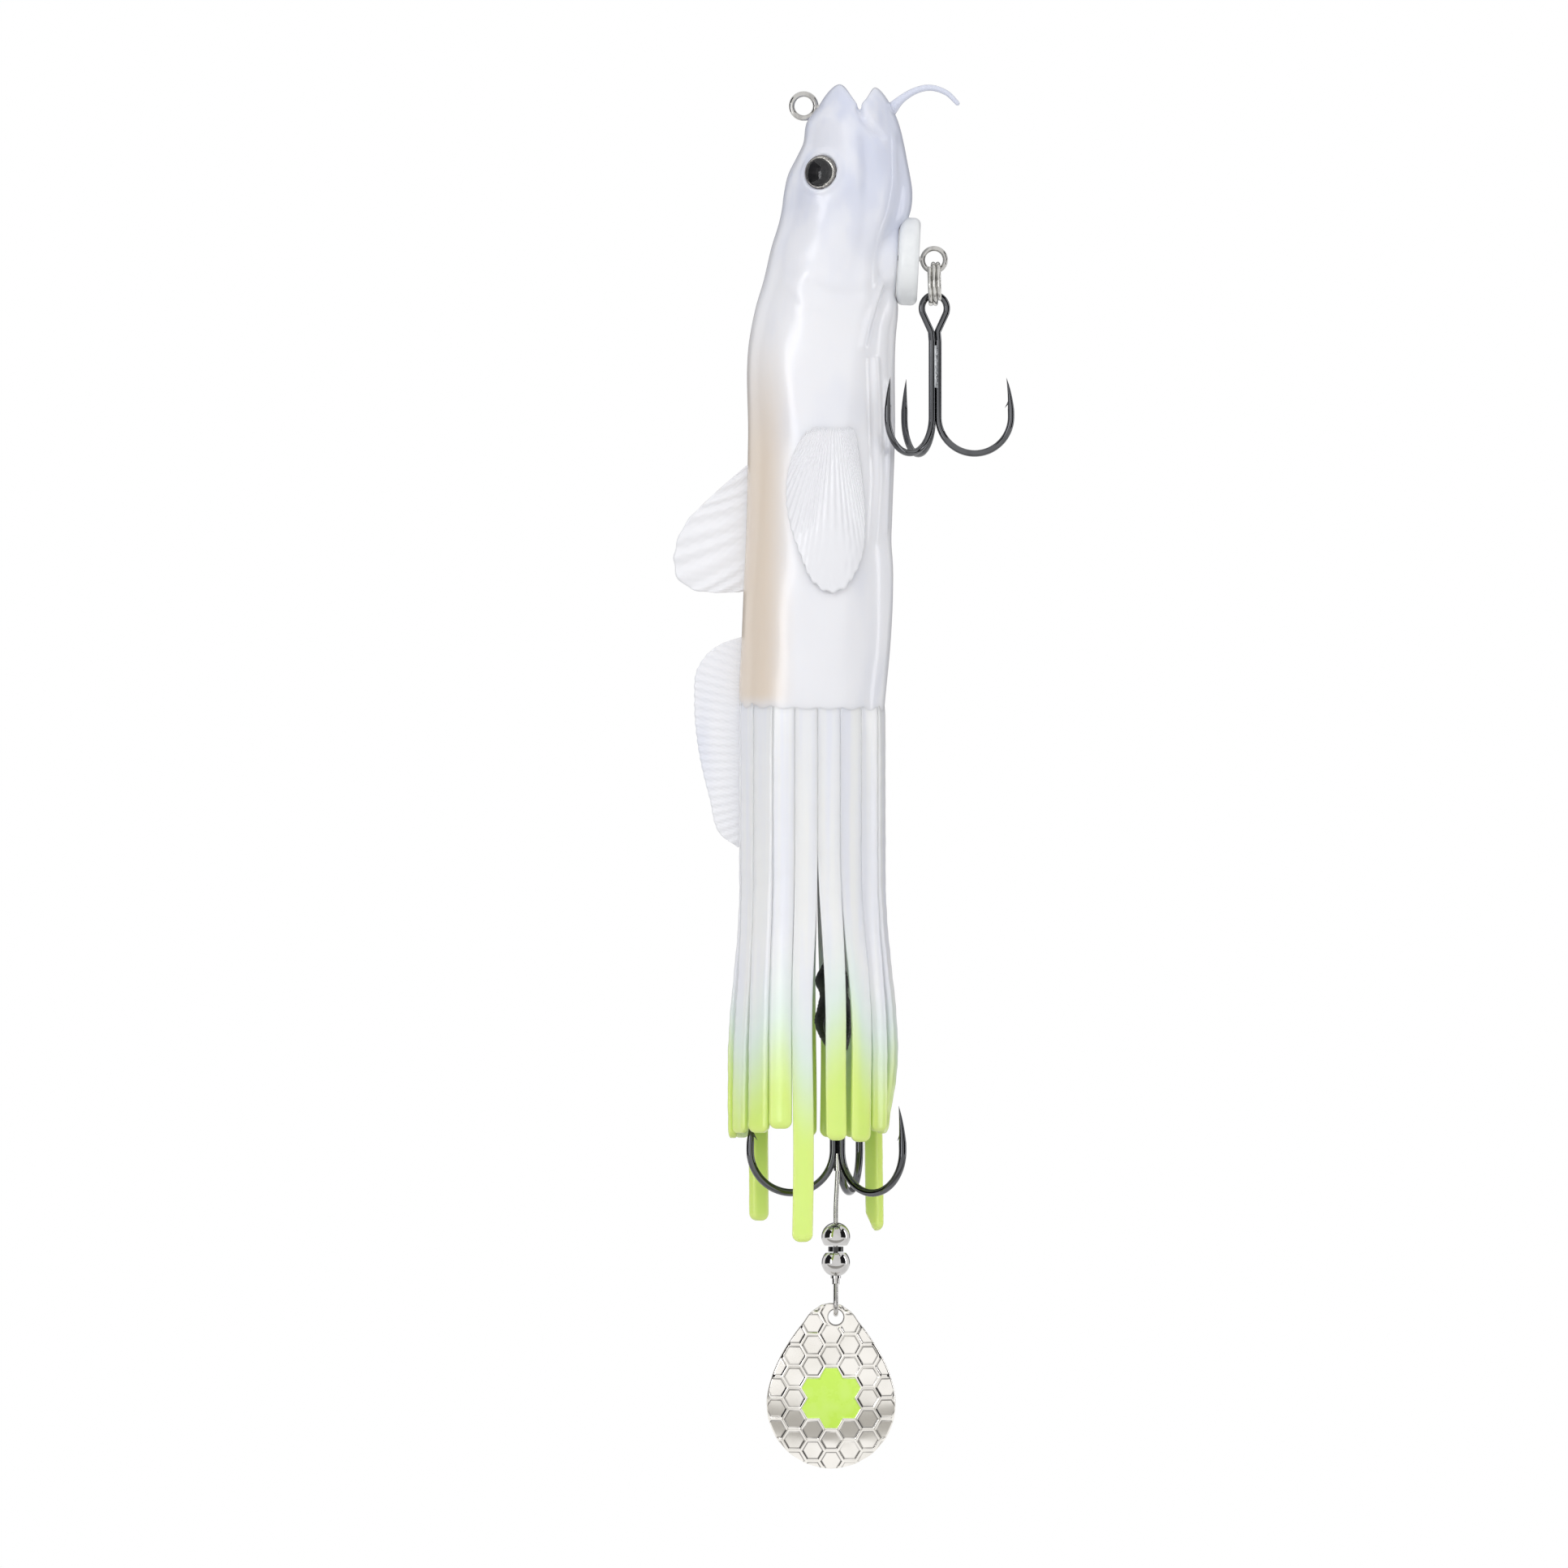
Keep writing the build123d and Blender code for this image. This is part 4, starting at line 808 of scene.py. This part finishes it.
STRAND_COUNT = 17
STRAND_THICKNESS = 2.4
STRAND_SLITS = (0.03, 0.25)
STRAND_CORNER = 2.0
SKIRT_CENTRE = 2.1
SKIRT_DEPTH, SKIRT_WIDTH = 18.8 - STRAND_THICKNESS / 2, 14.2 - STRAND_THICKNESS / 2
DORSAL_STRAND = 8
FLARE = 2.6
STRAND_END = -267.0
STRAND_ENDS = {
    0: -265.4,
    1: -290.5,
    5: -263.0,
    6: -288.6,
    9: -265.6,
    10: -265.5,
    11: -264.4,
    12: -293.6,
    13: -267.4,
    14: -267.8,
    15: -265.2,
    16: -265.8,
}
TORN_STRAND = 1
STRAND_DRIFT = {12: -0.8, 13: 1.6, 14: 1.8, 15: 1.0, 16: 0.4, 11: -0.3}
SPREADING_STRANDS = (8, 9, 10, 11)
BOWED_STRANDS = (0, 16)


def skirt_place(fraction):
    """Point and outward way at a share of the skirt ellipse's length, found on a fine polygon."""
    turn = np.linspace(0, 2 * math.pi, 20001)
    ring = np.stack([SKIRT_DEPTH * np.cos(turn), SKIRT_WIDTH * np.sin(turn)], axis=-1)
    length = run_length(ring)
    at = np.interp((fraction % 1) * length[-1], length, turn)
    point = np.array([SKIRT_CENTRE + SKIRT_DEPTH * math.cos(at), SKIRT_WIDTH * math.sin(at), 0])
    out = np.array([math.cos(at) / SKIRT_DEPTH, math.sin(at) / SKIRT_WIDTH, 0])
    return point, out / np.linalg.norm(out)


def strand_surface(number):
    """Rounded oblongs stacked down a strand, whose middle flares out and sways; near the end the half
    width falls as a quarter circle does, which rounds the corners of a flat end."""
    share = 0.5 + (number - DORSAL_STRAND) / STRAND_COUNT
    point, out = skirt_place(share)
    across = np.array([-out[1], out[0], 0])
    reach = skirt_place(share + 0.5 / STRAND_COUNT)[0] - skirt_place(share - 0.5 / STRAND_COUNT)[0]
    end = STRAND_ENDS.get(number, STRAND_END)
    corner = STRAND_CORNER * (1 - np.sin(np.linspace(0, math.pi / 2, 12)))
    z = np.concatenate([np.linspace(BODY_END + 6, end + STRAND_CORNER, 96)[:-1], end + corner])
    slit = STRAND_SLITS[0] + (STRAND_SLITS[1] - STRAND_SLITS[0]) * smooth(-z, 185, 235)
    half_width = (np.linalg.norm(reach) - slit) / 2
    left = np.clip((z - end) / STRAND_CORNER, 0, 1)
    shrink = STRAND_CORNER * (1 - np.sqrt(np.clip(1 - (1 - left) ** 2, 0, 1)))
    flare = FLARE * smooth(-z, 200, 247)
    if number in BOWED_STRANDS:
        flare = flare + 0.5 * smooth(-z, 215, 243) - 2.4 * smooth(-z, 246, 268)
    tuck = -0.35 * smooth(z, BODY_END - 2, BODY_END + 3)
    sway = 0.30 * np.sin(z * 0.06 + number * 2.1) * smooth(-z, 175, 235)
    side_sway = 0.25 * np.sin(z * 0.075 + number * 1.3) * smooth(-z, 180, 240)
    drift = STRAND_DRIFT.get(number, 0) * smooth(-z, 190, 240)
    centre = point + (flare + tuck + sway)[:, None] * out + side_sway[:, None] * across
    centre = centre + drift[:, None] * np.array([1, 0, 0])
    turn = full_turn(44)
    cosine, sine = np.cos(turn), np.sin(turn)
    power = (0.24 + 0.18 * smooth(-z, 185, 235))[:, None]
    wide = np.sign(cosine) * np.abs(cosine) ** power
    thick = np.sign(sine) * np.abs(sine) ** power
    slim = 1 + (0.08 if number in SPREADING_STRANDS else -0.05) * smooth(-z, 200, 247)
    width_here = (half_width * slim - shrink)[:, None] * wide * (1 + 0.085 * thick)
    thick_here = (STRAND_THICKNESS / 2 - 0.35 * shrink)[:, None] * thick
    fade = smooth(-z, 158, 166)[:, None]
    ribs = 0.07 * fade * np.cos(wide * 6.0 + number) * np.where(sine > 0.3, 1, 0)
    lumps = 0.08 * np.sin(z * 0.9 + number) * np.sin(z * 0.37 + 2 * number)
    surface = centre[:, None, :] + width_here[..., None] * across
    outer_relief = ribs * slim[:, None] + lumps[:, None] * fade * (sine > 0.3)
    surface = surface + (thick_here + outer_relief)[..., None] * out
    surface[..., 2] = z[:, None]
    if number == TORN_STRAND:
        torn = smooth(-z, 283, 290.5)[:, None]
        surface[..., 2] -= torn * 2.6 * wide * across[0]
        surface[..., 2] += torn * 1.2 * np.abs(wide)
    return surface


strand_pearl = pearl_plastic("strand_pearl", tips=True, milk=0.7)
for number in range(STRAND_COUNT):
    strand = closed_tube(f"tail_strand_skin_{number:02d}", strand_surface(number), strand_pearl)
    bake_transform(strand)
    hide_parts(f"strand_{number:02d}")


# ---- Belly disc and split ring: a white moulded disc, clamped by the belly eye's shank, and a bright
# split ring wound a little over two turns from round wire.

RING_X, RING_WIRE = 33.8, 0.58
RING_RADIUS, RING_CENTRE = 5.15, -46.0
RING_TURNS = 2.3
RING_PITCH = 1.16

disc_finish = finish("disc_plastic", (0.84, 0.86, 0.86, 1), 0.0, 0.4, (0.80, 0.82, 0.825, 1), 260, bump=0.15)
refinish(("belly_disc",), disc_finish)


def split_ring_surface():
    """A helix of a little over two turns about X, whose overlap faces the right flank."""
    turn = np.linspace(0, RING_TURNS * 2 * math.pi, 240)
    angle = turn - (RING_TURNS - 2) * math.pi - math.pi
    x = RING_X + RING_PITCH * (turn / (2 * math.pi) - RING_TURNS / 2)
    path = np.stack([x, RING_RADIUS * np.cos(angle), RING_CENTRE + RING_RADIUS * np.sin(angle)], axis=-1)
    radius = rounded_end(path[::-1], rounded_end(path, np.full(len(turn), RING_WIRE), 0.4)[::-1], 0.4)[::-1]
    return wire_surface(path, radius, (1, 0, 0), 18)


NICKEL, NICKEL_DARK = (0.66, 0.65, 0.62, 1), (0.52, 0.51, 0.49, 1)
bright_nickel = finish("bright_nickel", NICKEL, 1.0, 0.10, NICKEL_DARK, 700, bump=0.15)
split_ring = closed_tube("split_ring_wire", split_ring_surface(), bright_nickel, "belly_ring")
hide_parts("belly_split_ring")


# ---- Treble hooks: two points bent from one wire that also forms the eye, and a third hook brazed into
# their shanks with silver. Forged wire in black nickel, ground to needle points, each with a small barb.

HOOK_WIRE, HOOK_SPREAD, HOOK_EYE = 0.85, 20.0, 3.5
HOOK_SHANK_TOP, HOOK_BEND_BOTTOM, HOOK_POINT = 9.55, 41.05, 21.5
SHANK_SPACING = 1.23
POINT_TAPER, POINT_LEAN = 8.4, 1.2
BARB_TOP, BARB_DROP, BARB_REACH = 5.4, 2.4, 1.4
BELLY_HOOK = {"x": 33.8, "top": -48.85, "scale": 1.0, "turns": (232.5, 352.5, 112.5)}
REAR_HOOK = {"x": 8.9, "top": -233.68, "scale": 1.155, "turns": (76.0, 190.0, -44.0)}


def even_path(points, step=0.3):
    """Points at even steps along a chain of points."""
    length = run_length(points)
    where = np.linspace(0, length[-1], int(length[-1] / step) + 2)
    return chain_at(points, length, where), where


def hook_path(treble, turn):
    """From the settled shank down, round the half-circle bend, and up the point leg, which leans in by the
    square of its height over the taper. Radius and height turn into space about the hook's axis."""
    scale = treble["scale"]
    near, far = SHANK_SPACING * HOOK_WIRE * scale, HOOK_SPREAD * scale
    settle = treble["top"] - HOOK_SHANK_TOP * scale - 3 * HOOK_WIRE * scale
    bend = (far - near) / 2
    bend_z = treble["top"] - HOOK_BEND_BOTTOM * scale + bend
    point_z = treble["top"] - HOOK_POINT * scale
    sweep = np.linspace(math.pi, 2 * math.pi, 60)
    rise = np.linspace(0, 1, 40)[1:]
    leg_z = bend_z + (point_z - bend_z) * rise
    radii = np.concatenate([[near], near + bend + bend * np.cos(sweep), far - POINT_LEAN * scale * rise**2])
    heights = np.concatenate([[settle], bend_z + bend * np.sin(sweep), leg_z])
    angle = math.radians(turn)
    return np.stack([treble["x"] + radii * math.cos(angle), radii * math.sin(angle), heights], axis=-1)


def eye_path(treble):
    """The wire eye: up one leg, over the round top and down the other, in the plane between two hooks."""
    scale, top = treble["scale"], treble["top"]
    foot_half = SHANK_SPACING * HOOK_WIRE * scale * math.sin(math.radians(60))
    radius = HOOK_EYE * scale
    centre, foot = top - radius, top - HOOK_SHANK_TOP * scale
    touch = math.atan2(foot - centre, foot_half) + math.acos(radius / math.hypot(foot_half, centre - foot))
    sweep = np.linspace(touch, math.pi - touch, 60)
    aside = np.concatenate([[foot_half], radius * np.cos(sweep), [-foot_half]])
    height = np.concatenate([[foot], centre + radius * np.sin(sweep), [foot]])
    angle = math.radians((treble["turns"][0] + treble["turns"][1]) / 2 - 90)
    return np.stack([treble["x"] + aside * math.cos(angle), aside * math.sin(angle), height], axis=-1)


def taper(where, treble, both_ends):
    """Wire radius along a hook: the power 0.8 of the way from a point, up to the full wire."""
    scale = treble["scale"]
    away = where[-1] - where
    if both_ends:
        away = np.minimum(away, where)
    return HOOK_WIRE * scale * np.clip(away / (POINT_TAPER * scale), 0.012, 1) ** 0.8


def barb_surface(path, treble, turn):
    """A thin cone that starts on the tip's centre line and leans inwards, away from the point."""
    scale, angle = treble["scale"], math.radians(turn)
    inward = np.array([-math.cos(angle), -math.sin(angle), 0])
    leg = path[-30:]
    start = np.array([np.interp(leg[-1, 2] - BARB_TOP * scale, leg[:, 2], leg[:, axis]) for axis in range(3)])
    share = np.linspace(0, 1, 12)[:, None]
    middle = start + inward * BARB_REACH * scale * share**1.3 - (0, 0, BARB_DROP * scale) * share
    return wire_surface(middle, scale * (0.42 * (1 - share[:, 0]) + 0.02), (-inward[1], inward[0], 0), 12)


def joined_skins(name, grids, material, body):
    """Several closed skins as one piece."""
    skins = [closed_tube(f"{name}_{number}", grid, material) for number, grid in enumerate(grids)]
    points, faces, start = [], [], 0
    for skin in skins:
        places = np.empty(len(skin.data.vertices) * 3, np.float32)
        skin.data.vertices.foreach_get("co", places)
        points += places.reshape(-1, 3).tolist()
        faces += [[start + index for index in face.vertices] for face in skin.data.polygons]
        start = len(points)
        bpy.data.meshes.remove(skin.data)
    mesh = bpy.data.meshes.new(name)
    mesh.from_pydata(points, [], faces)
    mesh.polygons.foreach_set("use_smooth", np.ones(len(mesh.polygons), bool))
    mesh.update()
    mesh.materials.append(material)
    piece = bpy.data.objects.new(name, mesh)
    bpy.context.collection.objects.link(piece)
    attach(piece, body)
    return piece


DARK, DARKER = (0.13, 0.133, 0.14, 1), (0.09, 0.092, 0.098, 1)
SILVER, DULL_SILVER = (0.72, 0.74, 0.76, 1), (0.46, 0.48, 0.50, 1)
black_nickel = finish("black_nickel_finish", DARK, 1.0, 0.06, DARKER, 160, (1, 1, 0.25), 0.05)
silver_braze = finish("silver_braze_finish", SILVER, 1.0, 0.32, DULL_SILVER, 900, (1, 1, 0.5), 0.7)


def treble_pieces(name, treble, body):
    """The double hook with its eye, the single hook, and the braze between the shanks."""
    first, second, third = treble["turns"]
    one, two = hook_path(treble, first), hook_path(treble, second)
    loop = eye_path(treble)
    if np.linalg.norm(loop[0] - one[0]) > np.linalg.norm(loop[-1] - one[0]):
        loop = loop[::-1]
    path, where = even_path(np.concatenate([one[::-1], loop, two]))
    middle = math.radians((first + second) / 2)
    lean = math.radians(30) * np.cos(math.pi * smooth(where, where[-1] * 0.42, where[-1] * 0.58))
    guide = np.stack([np.cos(middle + lean), np.sin(middle + lean), 0 * lean], axis=-1)
    grids = [wire_surface(path, taper(where, treble, True), guide)]
    grids += [barb_surface(leg, treble, turn) for leg, turn in ((one, first), (two, second))]
    double = joined_skins(f"{name}_double_wire", grids, black_nickel, body)
    path, where = even_path(hook_path(treble, third))
    angle = math.radians(third)
    grids = [wire_surface(path, taper(where, treble, False), (-math.sin(angle), math.cos(angle), 0))]
    grids.append(barb_surface(path, treble, third))
    single = joined_skins(f"{name}_single_wire", grids, black_nickel, body)
    for piece, node in ((double, f"{name}_double"), (single, f"{name}_single")):
        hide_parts(node)
    refinish((f"{name}_braze",), silver_braze)


treble_pieces("belly_hook", BELLY_HOOK, "belly_treble")
treble_pieces("rear_hook", REAR_HOOK, "rear_rig")


# ---- Rear rig: a black heat-shrink sleeve drawn down over the leader's loop, its crimp and the rear
# hook's eye, waisted between them.

SLEEVE_SHAPE = [
    # height, left, right, half width
    (-244.2, 6.2, 11.4, 2.4),
    (-240.6, 4.0, 12.2, 2.9),
    (-237.2, 2.8, 12.8, 3.3),
    (-232.8, 3.6, 12.4, 3.2),
    (-229.8, 4.1, 11.5, 3.4),
    (-226.4, 2.9, 11.6, 4.0),
    (-222.8, 4.4, 10.6, 2.6),
    (-220.4, 5.8, 9.4, 1.6),
]


def sleeve_surface():
    """Level ellipses through the stations, with faint rings where the film has shrunk."""
    z = np.linspace(SLEEVE_SHAPE[0][0], SLEEVE_SHAPE[-1][0], 110)
    left, right, half = through(SLEEVE_SHAPE, z).T[:, :, None]
    turn = full_turn(72)
    rings = 1 + 0.012 * np.sin(z * 5.1 + 2 * np.sin(z * 1.7))[:, None]
    x = (left + right) / 2 + (right - left) / 2 * rings * np.cos(turn)
    return np.stack([x, half * rings * np.sin(turn), np.broadcast_to(z[:, None], x.shape)], axis=-1)


SOOT, WORN_SOOT = (0.014, 0.015, 0.016, 1), (0.03, 0.031, 0.033, 1)
shrink_rubber = finish("shrink_rubber", SOOT, 0.0, 0.36, WORN_SOOT, 350, (1, 1, 0.5), 0.35)
sleeve = closed_tube("shrink_tube", sleeve_surface(), shrink_rubber, "rear_rig")
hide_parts("shrink_sleeve")


# ---- Spinner: a straight wire, a free bead, and a ball swivel that trails the blade from a wire link.
# Bead, ball and link are turned or bent steel with a bright chrome finish.

chrome = finish("bright_chrome", (0.62, 0.61, 0.60, 1), 1.0, 0.05, (0.54, 0.53, 0.52, 1), 300, bump=0.02)
refinish(("upper_bead", "swivel_body"), chrome)
refinish(("swivel_pin",), finish("dark_collar", (0.07, 0.07, 0.07, 1), 1.0, 0.2, (0.05, 0.05, 0.05, 1), 900))
refinish(("spinner_wire", "link_loop"), stainless)


# ---- Blade: a dished drop of sheet steel, embossed with flat-topped hexagons whose borders stand up as
# rounded ridges, nickel plated, with a plain yellow-green film over seven cells. A hole takes the link.
# Shade is painted into the nickel along the feet of the ridges and round the hole's edge.

BLADE_X, BLADE_TOP, BLADE_BOTTOM = 7.1, -309.7, -352.8
BLADE_WIDTHS = [
    (-309.7, 0.0),
    (-309.95, 1.5),
    (-311.0, 3.7),
    (-315.0, 7.5),
    (-319.2, 10.6),
    (-323.2, 13.0),
    (-329.0, 15.5),
    (-335.5, 16.7),
    (-341.8, 15.6),
    (-346.5, 12.9),
    (-350.2, 8.6),
    (-352.2, 3.9),
    (-352.7, 1.3),
    (-352.8, 0.0),
]
BLADE_HALF = 0.4
BLADE_DISH, BLADE_DISH_Z, BLADE_HOLE_Z = 60.0, -331.0, -313.3
HOLE_X, HOLE_RADIUS = 8.3, 1.95
PUNCH_LENGTH = 0.02
LEAN, LEAN_PIVOT = math.radians(3.6), (0.0, -310.0)
CELL_PITCH = 5.5
CELL_BORDER = 0.55
RIDGE_HEIGHT = 0.3
FILM_Z = -334.1
FILM_THICKNESS = 0.06
FILM_MARGIN = 0.3
SHADE_FOOT_WIDTH = 0.13


def cell_edge_distance(x, z):
    """How far a point lies from the border of its hexagon: half the pitch less the largest of its offsets
    along the three ways across flats, measured from the nearest centre of a staggered grid."""
    column_pitch = CELL_PITCH * math.sqrt(3) / 2
    nearest = np.full(x.shape, 1e9)
    for half in (0, 1):
        u = (x - BLADE_X) / (2 * column_pitch) - half / 2
        v = (z - FILM_Z) / CELL_PITCH - half / 2
        dx, dz = (u - np.round(u)) * 2 * column_pitch, (v - np.round(v)) * CELL_PITCH
        slant = np.abs(dx) * math.sqrt(3) / 2 + np.abs(dz) / 2
        nearest = np.minimum(nearest, np.maximum(np.abs(dz), slant))
    return CELL_PITCH / 2 - nearest


def film_reach():
    """Directions, and in each the farthest reach of a hexagon about the middle or about one of six centres
    a pitch away."""
    angle = np.linspace(-math.pi, math.pi, 361)
    distance = np.linspace(0.5, CELL_PITCH * 1.75, 600)[:, None]
    x, z = distance * np.cos(angle), distance * np.sin(angle)
    inside = np.zeros(x.shape, bool)
    for number in range(7):
        aside = CELL_PITCH * (number > 0)
        way = number * math.pi / 3 + math.pi / 6
        cx, cz = aside * math.cos(way), aside * math.sin(way)
        slant = np.abs(x - cx) * math.sqrt(3) / 2 + np.abs(z - cz) / 2
        inside |= np.maximum(np.abs(z - cz), slant) <= CELL_PITCH / 2
    return angle, (distance * inside).max(axis=0)


def blade_ridge(x, z):
    """Border ridges: a rounded step from the flat cell up to the shared border, left out under the film."""
    away = cell_edge_distance(x, z)
    reach = np.interp(np.arctan2(z - FILM_Z, x - BLADE_X), *film_reach())
    bare = smooth(np.hypot(x - BLADE_X, z - FILM_Z) - reach, -0.75, -0.35)
    return RIDGE_HEIGHT * (1 - smooth(away, CELL_BORDER * 0.3, CELL_BORDER)) * bare


def dish_y(x, z):
    """The dish's middle face: a sphere's cap that bows towards the right flank."""
    sag = BLADE_DISH - math.sqrt(BLADE_DISH**2 - (BLADE_HOLE_Z - BLADE_DISH_Z) ** 2)
    reach = (x - BLADE_X) ** 2 + (z - BLADE_DISH_Z) ** 2
    return BLADE_DISH - sag - np.sqrt((BLADE_DISH + BLADE_HALF) ** 2 - reach)


def leaned(grid):
    """Tips points about the link's round, so that the blade hangs in balance."""
    y, z = grid[..., 1] - LEAN_PIVOT[0], grid[..., 2] - LEAN_PIVOT[1]
    turned_y = LEAN_PIVOT[0] + y * math.cos(LEAN) - z * math.sin(LEAN)
    turned_z = LEAN_PIVOT[1] + y * math.sin(LEAN) + z * math.cos(LEAN)
    return np.stack([grid[..., 0], turned_y, turned_z], axis=-1)


def blade_surface():
    """Rows down the blade, each as wide as the outline there; the sheet's two faces follow the dish and
    the ridges, and near the rim half the thickness falls as a quarter circle does. Returns the points and
    how deep in a ridge's foot, or at the hole's edge, each lies, which is where shade is painted."""
    middle_z, half_height = (BLADE_TOP + BLADE_BOTTOM) / 2, (BLADE_TOP - BLADE_BOTTOM) / 2
    level = np.linspace(1, -1, 300)
    crowded = 0.4 * np.sin(level * math.pi / 2) + 0.6 * level
    z = middle_z + half_height * np.sin(crowded * math.pi / 2 * 0.995)
    width = np.maximum(through(BLADE_WIDTHS, z)[:, 0], 0.02)
    faces = []
    for side, count in ((-1, 220), (1, 70)):
        even = np.linspace(-1, 1, count)
        across = -side * (np.sin(even * math.pi / 2) * 0.35 + even * 0.65)
        x = BLADE_X + width[:, None] * across
        height = np.repeat(z[:, None], count, axis=1)
        end_gap = np.minimum(BLADE_TOP - height, height - BLADE_BOTTOM) * 1.2
        rim = np.minimum(width[:, None] * (1 - np.abs(across)), end_gap)
        thick = BLADE_HALF * np.sqrt(1 - (1 - np.clip(rim / BLADE_HALF, 0.02, 1)) ** 2)
        from_hole = np.hypot(x - HOLE_X, height - BLADE_HOLE_Z)
        flat = smooth(from_hole, HOLE_RADIUS + 0.4, HOLE_RADIUS + 1.2)
        middle = dish_y(x, height) - blade_ridge(x, height) * flat * smooth(rim, 0.2, 0.9)
        # The foot marks where shade is painted: a narrow band beside each ridge and round the hole's edge.
        beside_ridge = (cell_edge_distance(x, height) - CELL_BORDER) / SHADE_FOOT_WIDTH
        foot = np.exp(-(beside_ridge**2)) * flat * smooth(rim, 0, 0.4)
        foot = np.maximum(foot, 1 - smooth(np.abs(from_hole - HOLE_RADIUS), 0.15, 0.4))
        faces.append((np.stack([x, middle + side * thick, height], axis=-1), foot))
    points, foot = (np.concatenate(pair, axis=1) for pair in zip(*faces))
    return leaned(points), foot


def film_surface():
    """The film in polar form on the blade's front face: its reach in each direction, less a small margin."""
    angle, edge = (values[:-1] for values in film_reach())
    edge = edge - FILM_MARGIN
    reach = np.linspace(0.03, 1, 60)[:, None]
    x, z = BLADE_X + reach * edge * np.cos(angle), FILM_Z + reach * edge * np.sin(angle)
    skin = dish_y(x, z) - blade_ridge(x, z) - BLADE_HALF
    front = np.stack([x, skin - FILM_THICKNESS * smooth(1 - reach, 0, 0.03), z], axis=-1)
    back = np.stack([x, skin + FILM_THICKNESS, z], axis=-1)
    return leaned(np.concatenate([front, back[::-1]]))


def painted_crease_shade(material, shade):
    """Paints shade into a finish by the mesh's own painted-shade value, unevenly along each ridge foot."""
    nodes, links = material.node_tree.nodes, material.node_tree.links
    shader = nodes["Principled BSDF"]
    crease_shade = nodes.new("ShaderNodeAttribute")
    crease_shade.attribute_name = "crease_shade"
    place = nodes.new("ShaderNodeTexCoord").outputs["Object"]
    uneven = graded(nodes, links, grain(nodes, links, place, 160, 2.0), 0.25, 0.6)
    share = sums(nodes, links, "MULTIPLY", crease_shade.outputs["Fac"], sums(nodes, links, "ADD", uneven, 0.12))
    share = sums(nodes, links, "MINIMUM", share, 1.0)
    plain = shader.inputs["Base Color"].links[0].from_socket
    links.new(mixed(nodes, links, share, plain, shade), shader.inputs["Base Color"])
    return material


PLATE, WARM_PLATE = (0.94, 0.91, 0.86, 1), (0.86, 0.83, 0.775, 1)
nickel = finish("blade_nickel_finish", PLATE, 1.0, 0.16, WARM_PLATE, 90, bump=0.02)
sheet, foot = blade_surface()
# Painted shade darkens the nickel along the ridge feet and round the hole.
blade = closed_tube("blade_sheet", sheet, painted_crease_shade(nickel, (0.18, 0.172, 0.165, 1)))
crease_shade = blade.data.attributes.new("crease_shade", "FLOAT", "POINT")
crease_shade.data.foreach_set("value", np.concatenate([foot.ravel(), [0.0, 0.0]]))
bpy.ops.mesh.primitive_cylinder_add(
    vertices=96,
    radius=HOLE_RADIUS * MM,
    depth=PUNCH_LENGTH,
    location=(HOLE_X * MM, 0, BLADE_HOLE_Z * MM),
    rotation=(math.pi / 2, 0, 0),
)
punch = bpy.context.object
cut = blade.modifiers.new("hole", "BOOLEAN")
cut.object, cut.operation, cut.solver = punch, "DIFFERENCE", "EXACT"
drilled = bpy.data.meshes.new_from_object(blade.evaluated_get(bpy.context.evaluated_depsgraph_get()))
blade.modifiers.clear()
blade.data = drilled
bpy.data.objects.remove(punch)
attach(blade, "blade")
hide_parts("spinner_blade")

LIME, PALE_LIME = (0.62, 0.93, 0.10, 1), (0.66, 0.95, 0.16, 1)
film_ink = finish("film_ink", LIME, 0.0, 0.32, PALE_LIME, 220, bump=0.05, coat=0.4)
film = closed_tube("blade_film", film_surface(), film_ink, "blade")
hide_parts("blade_decal")
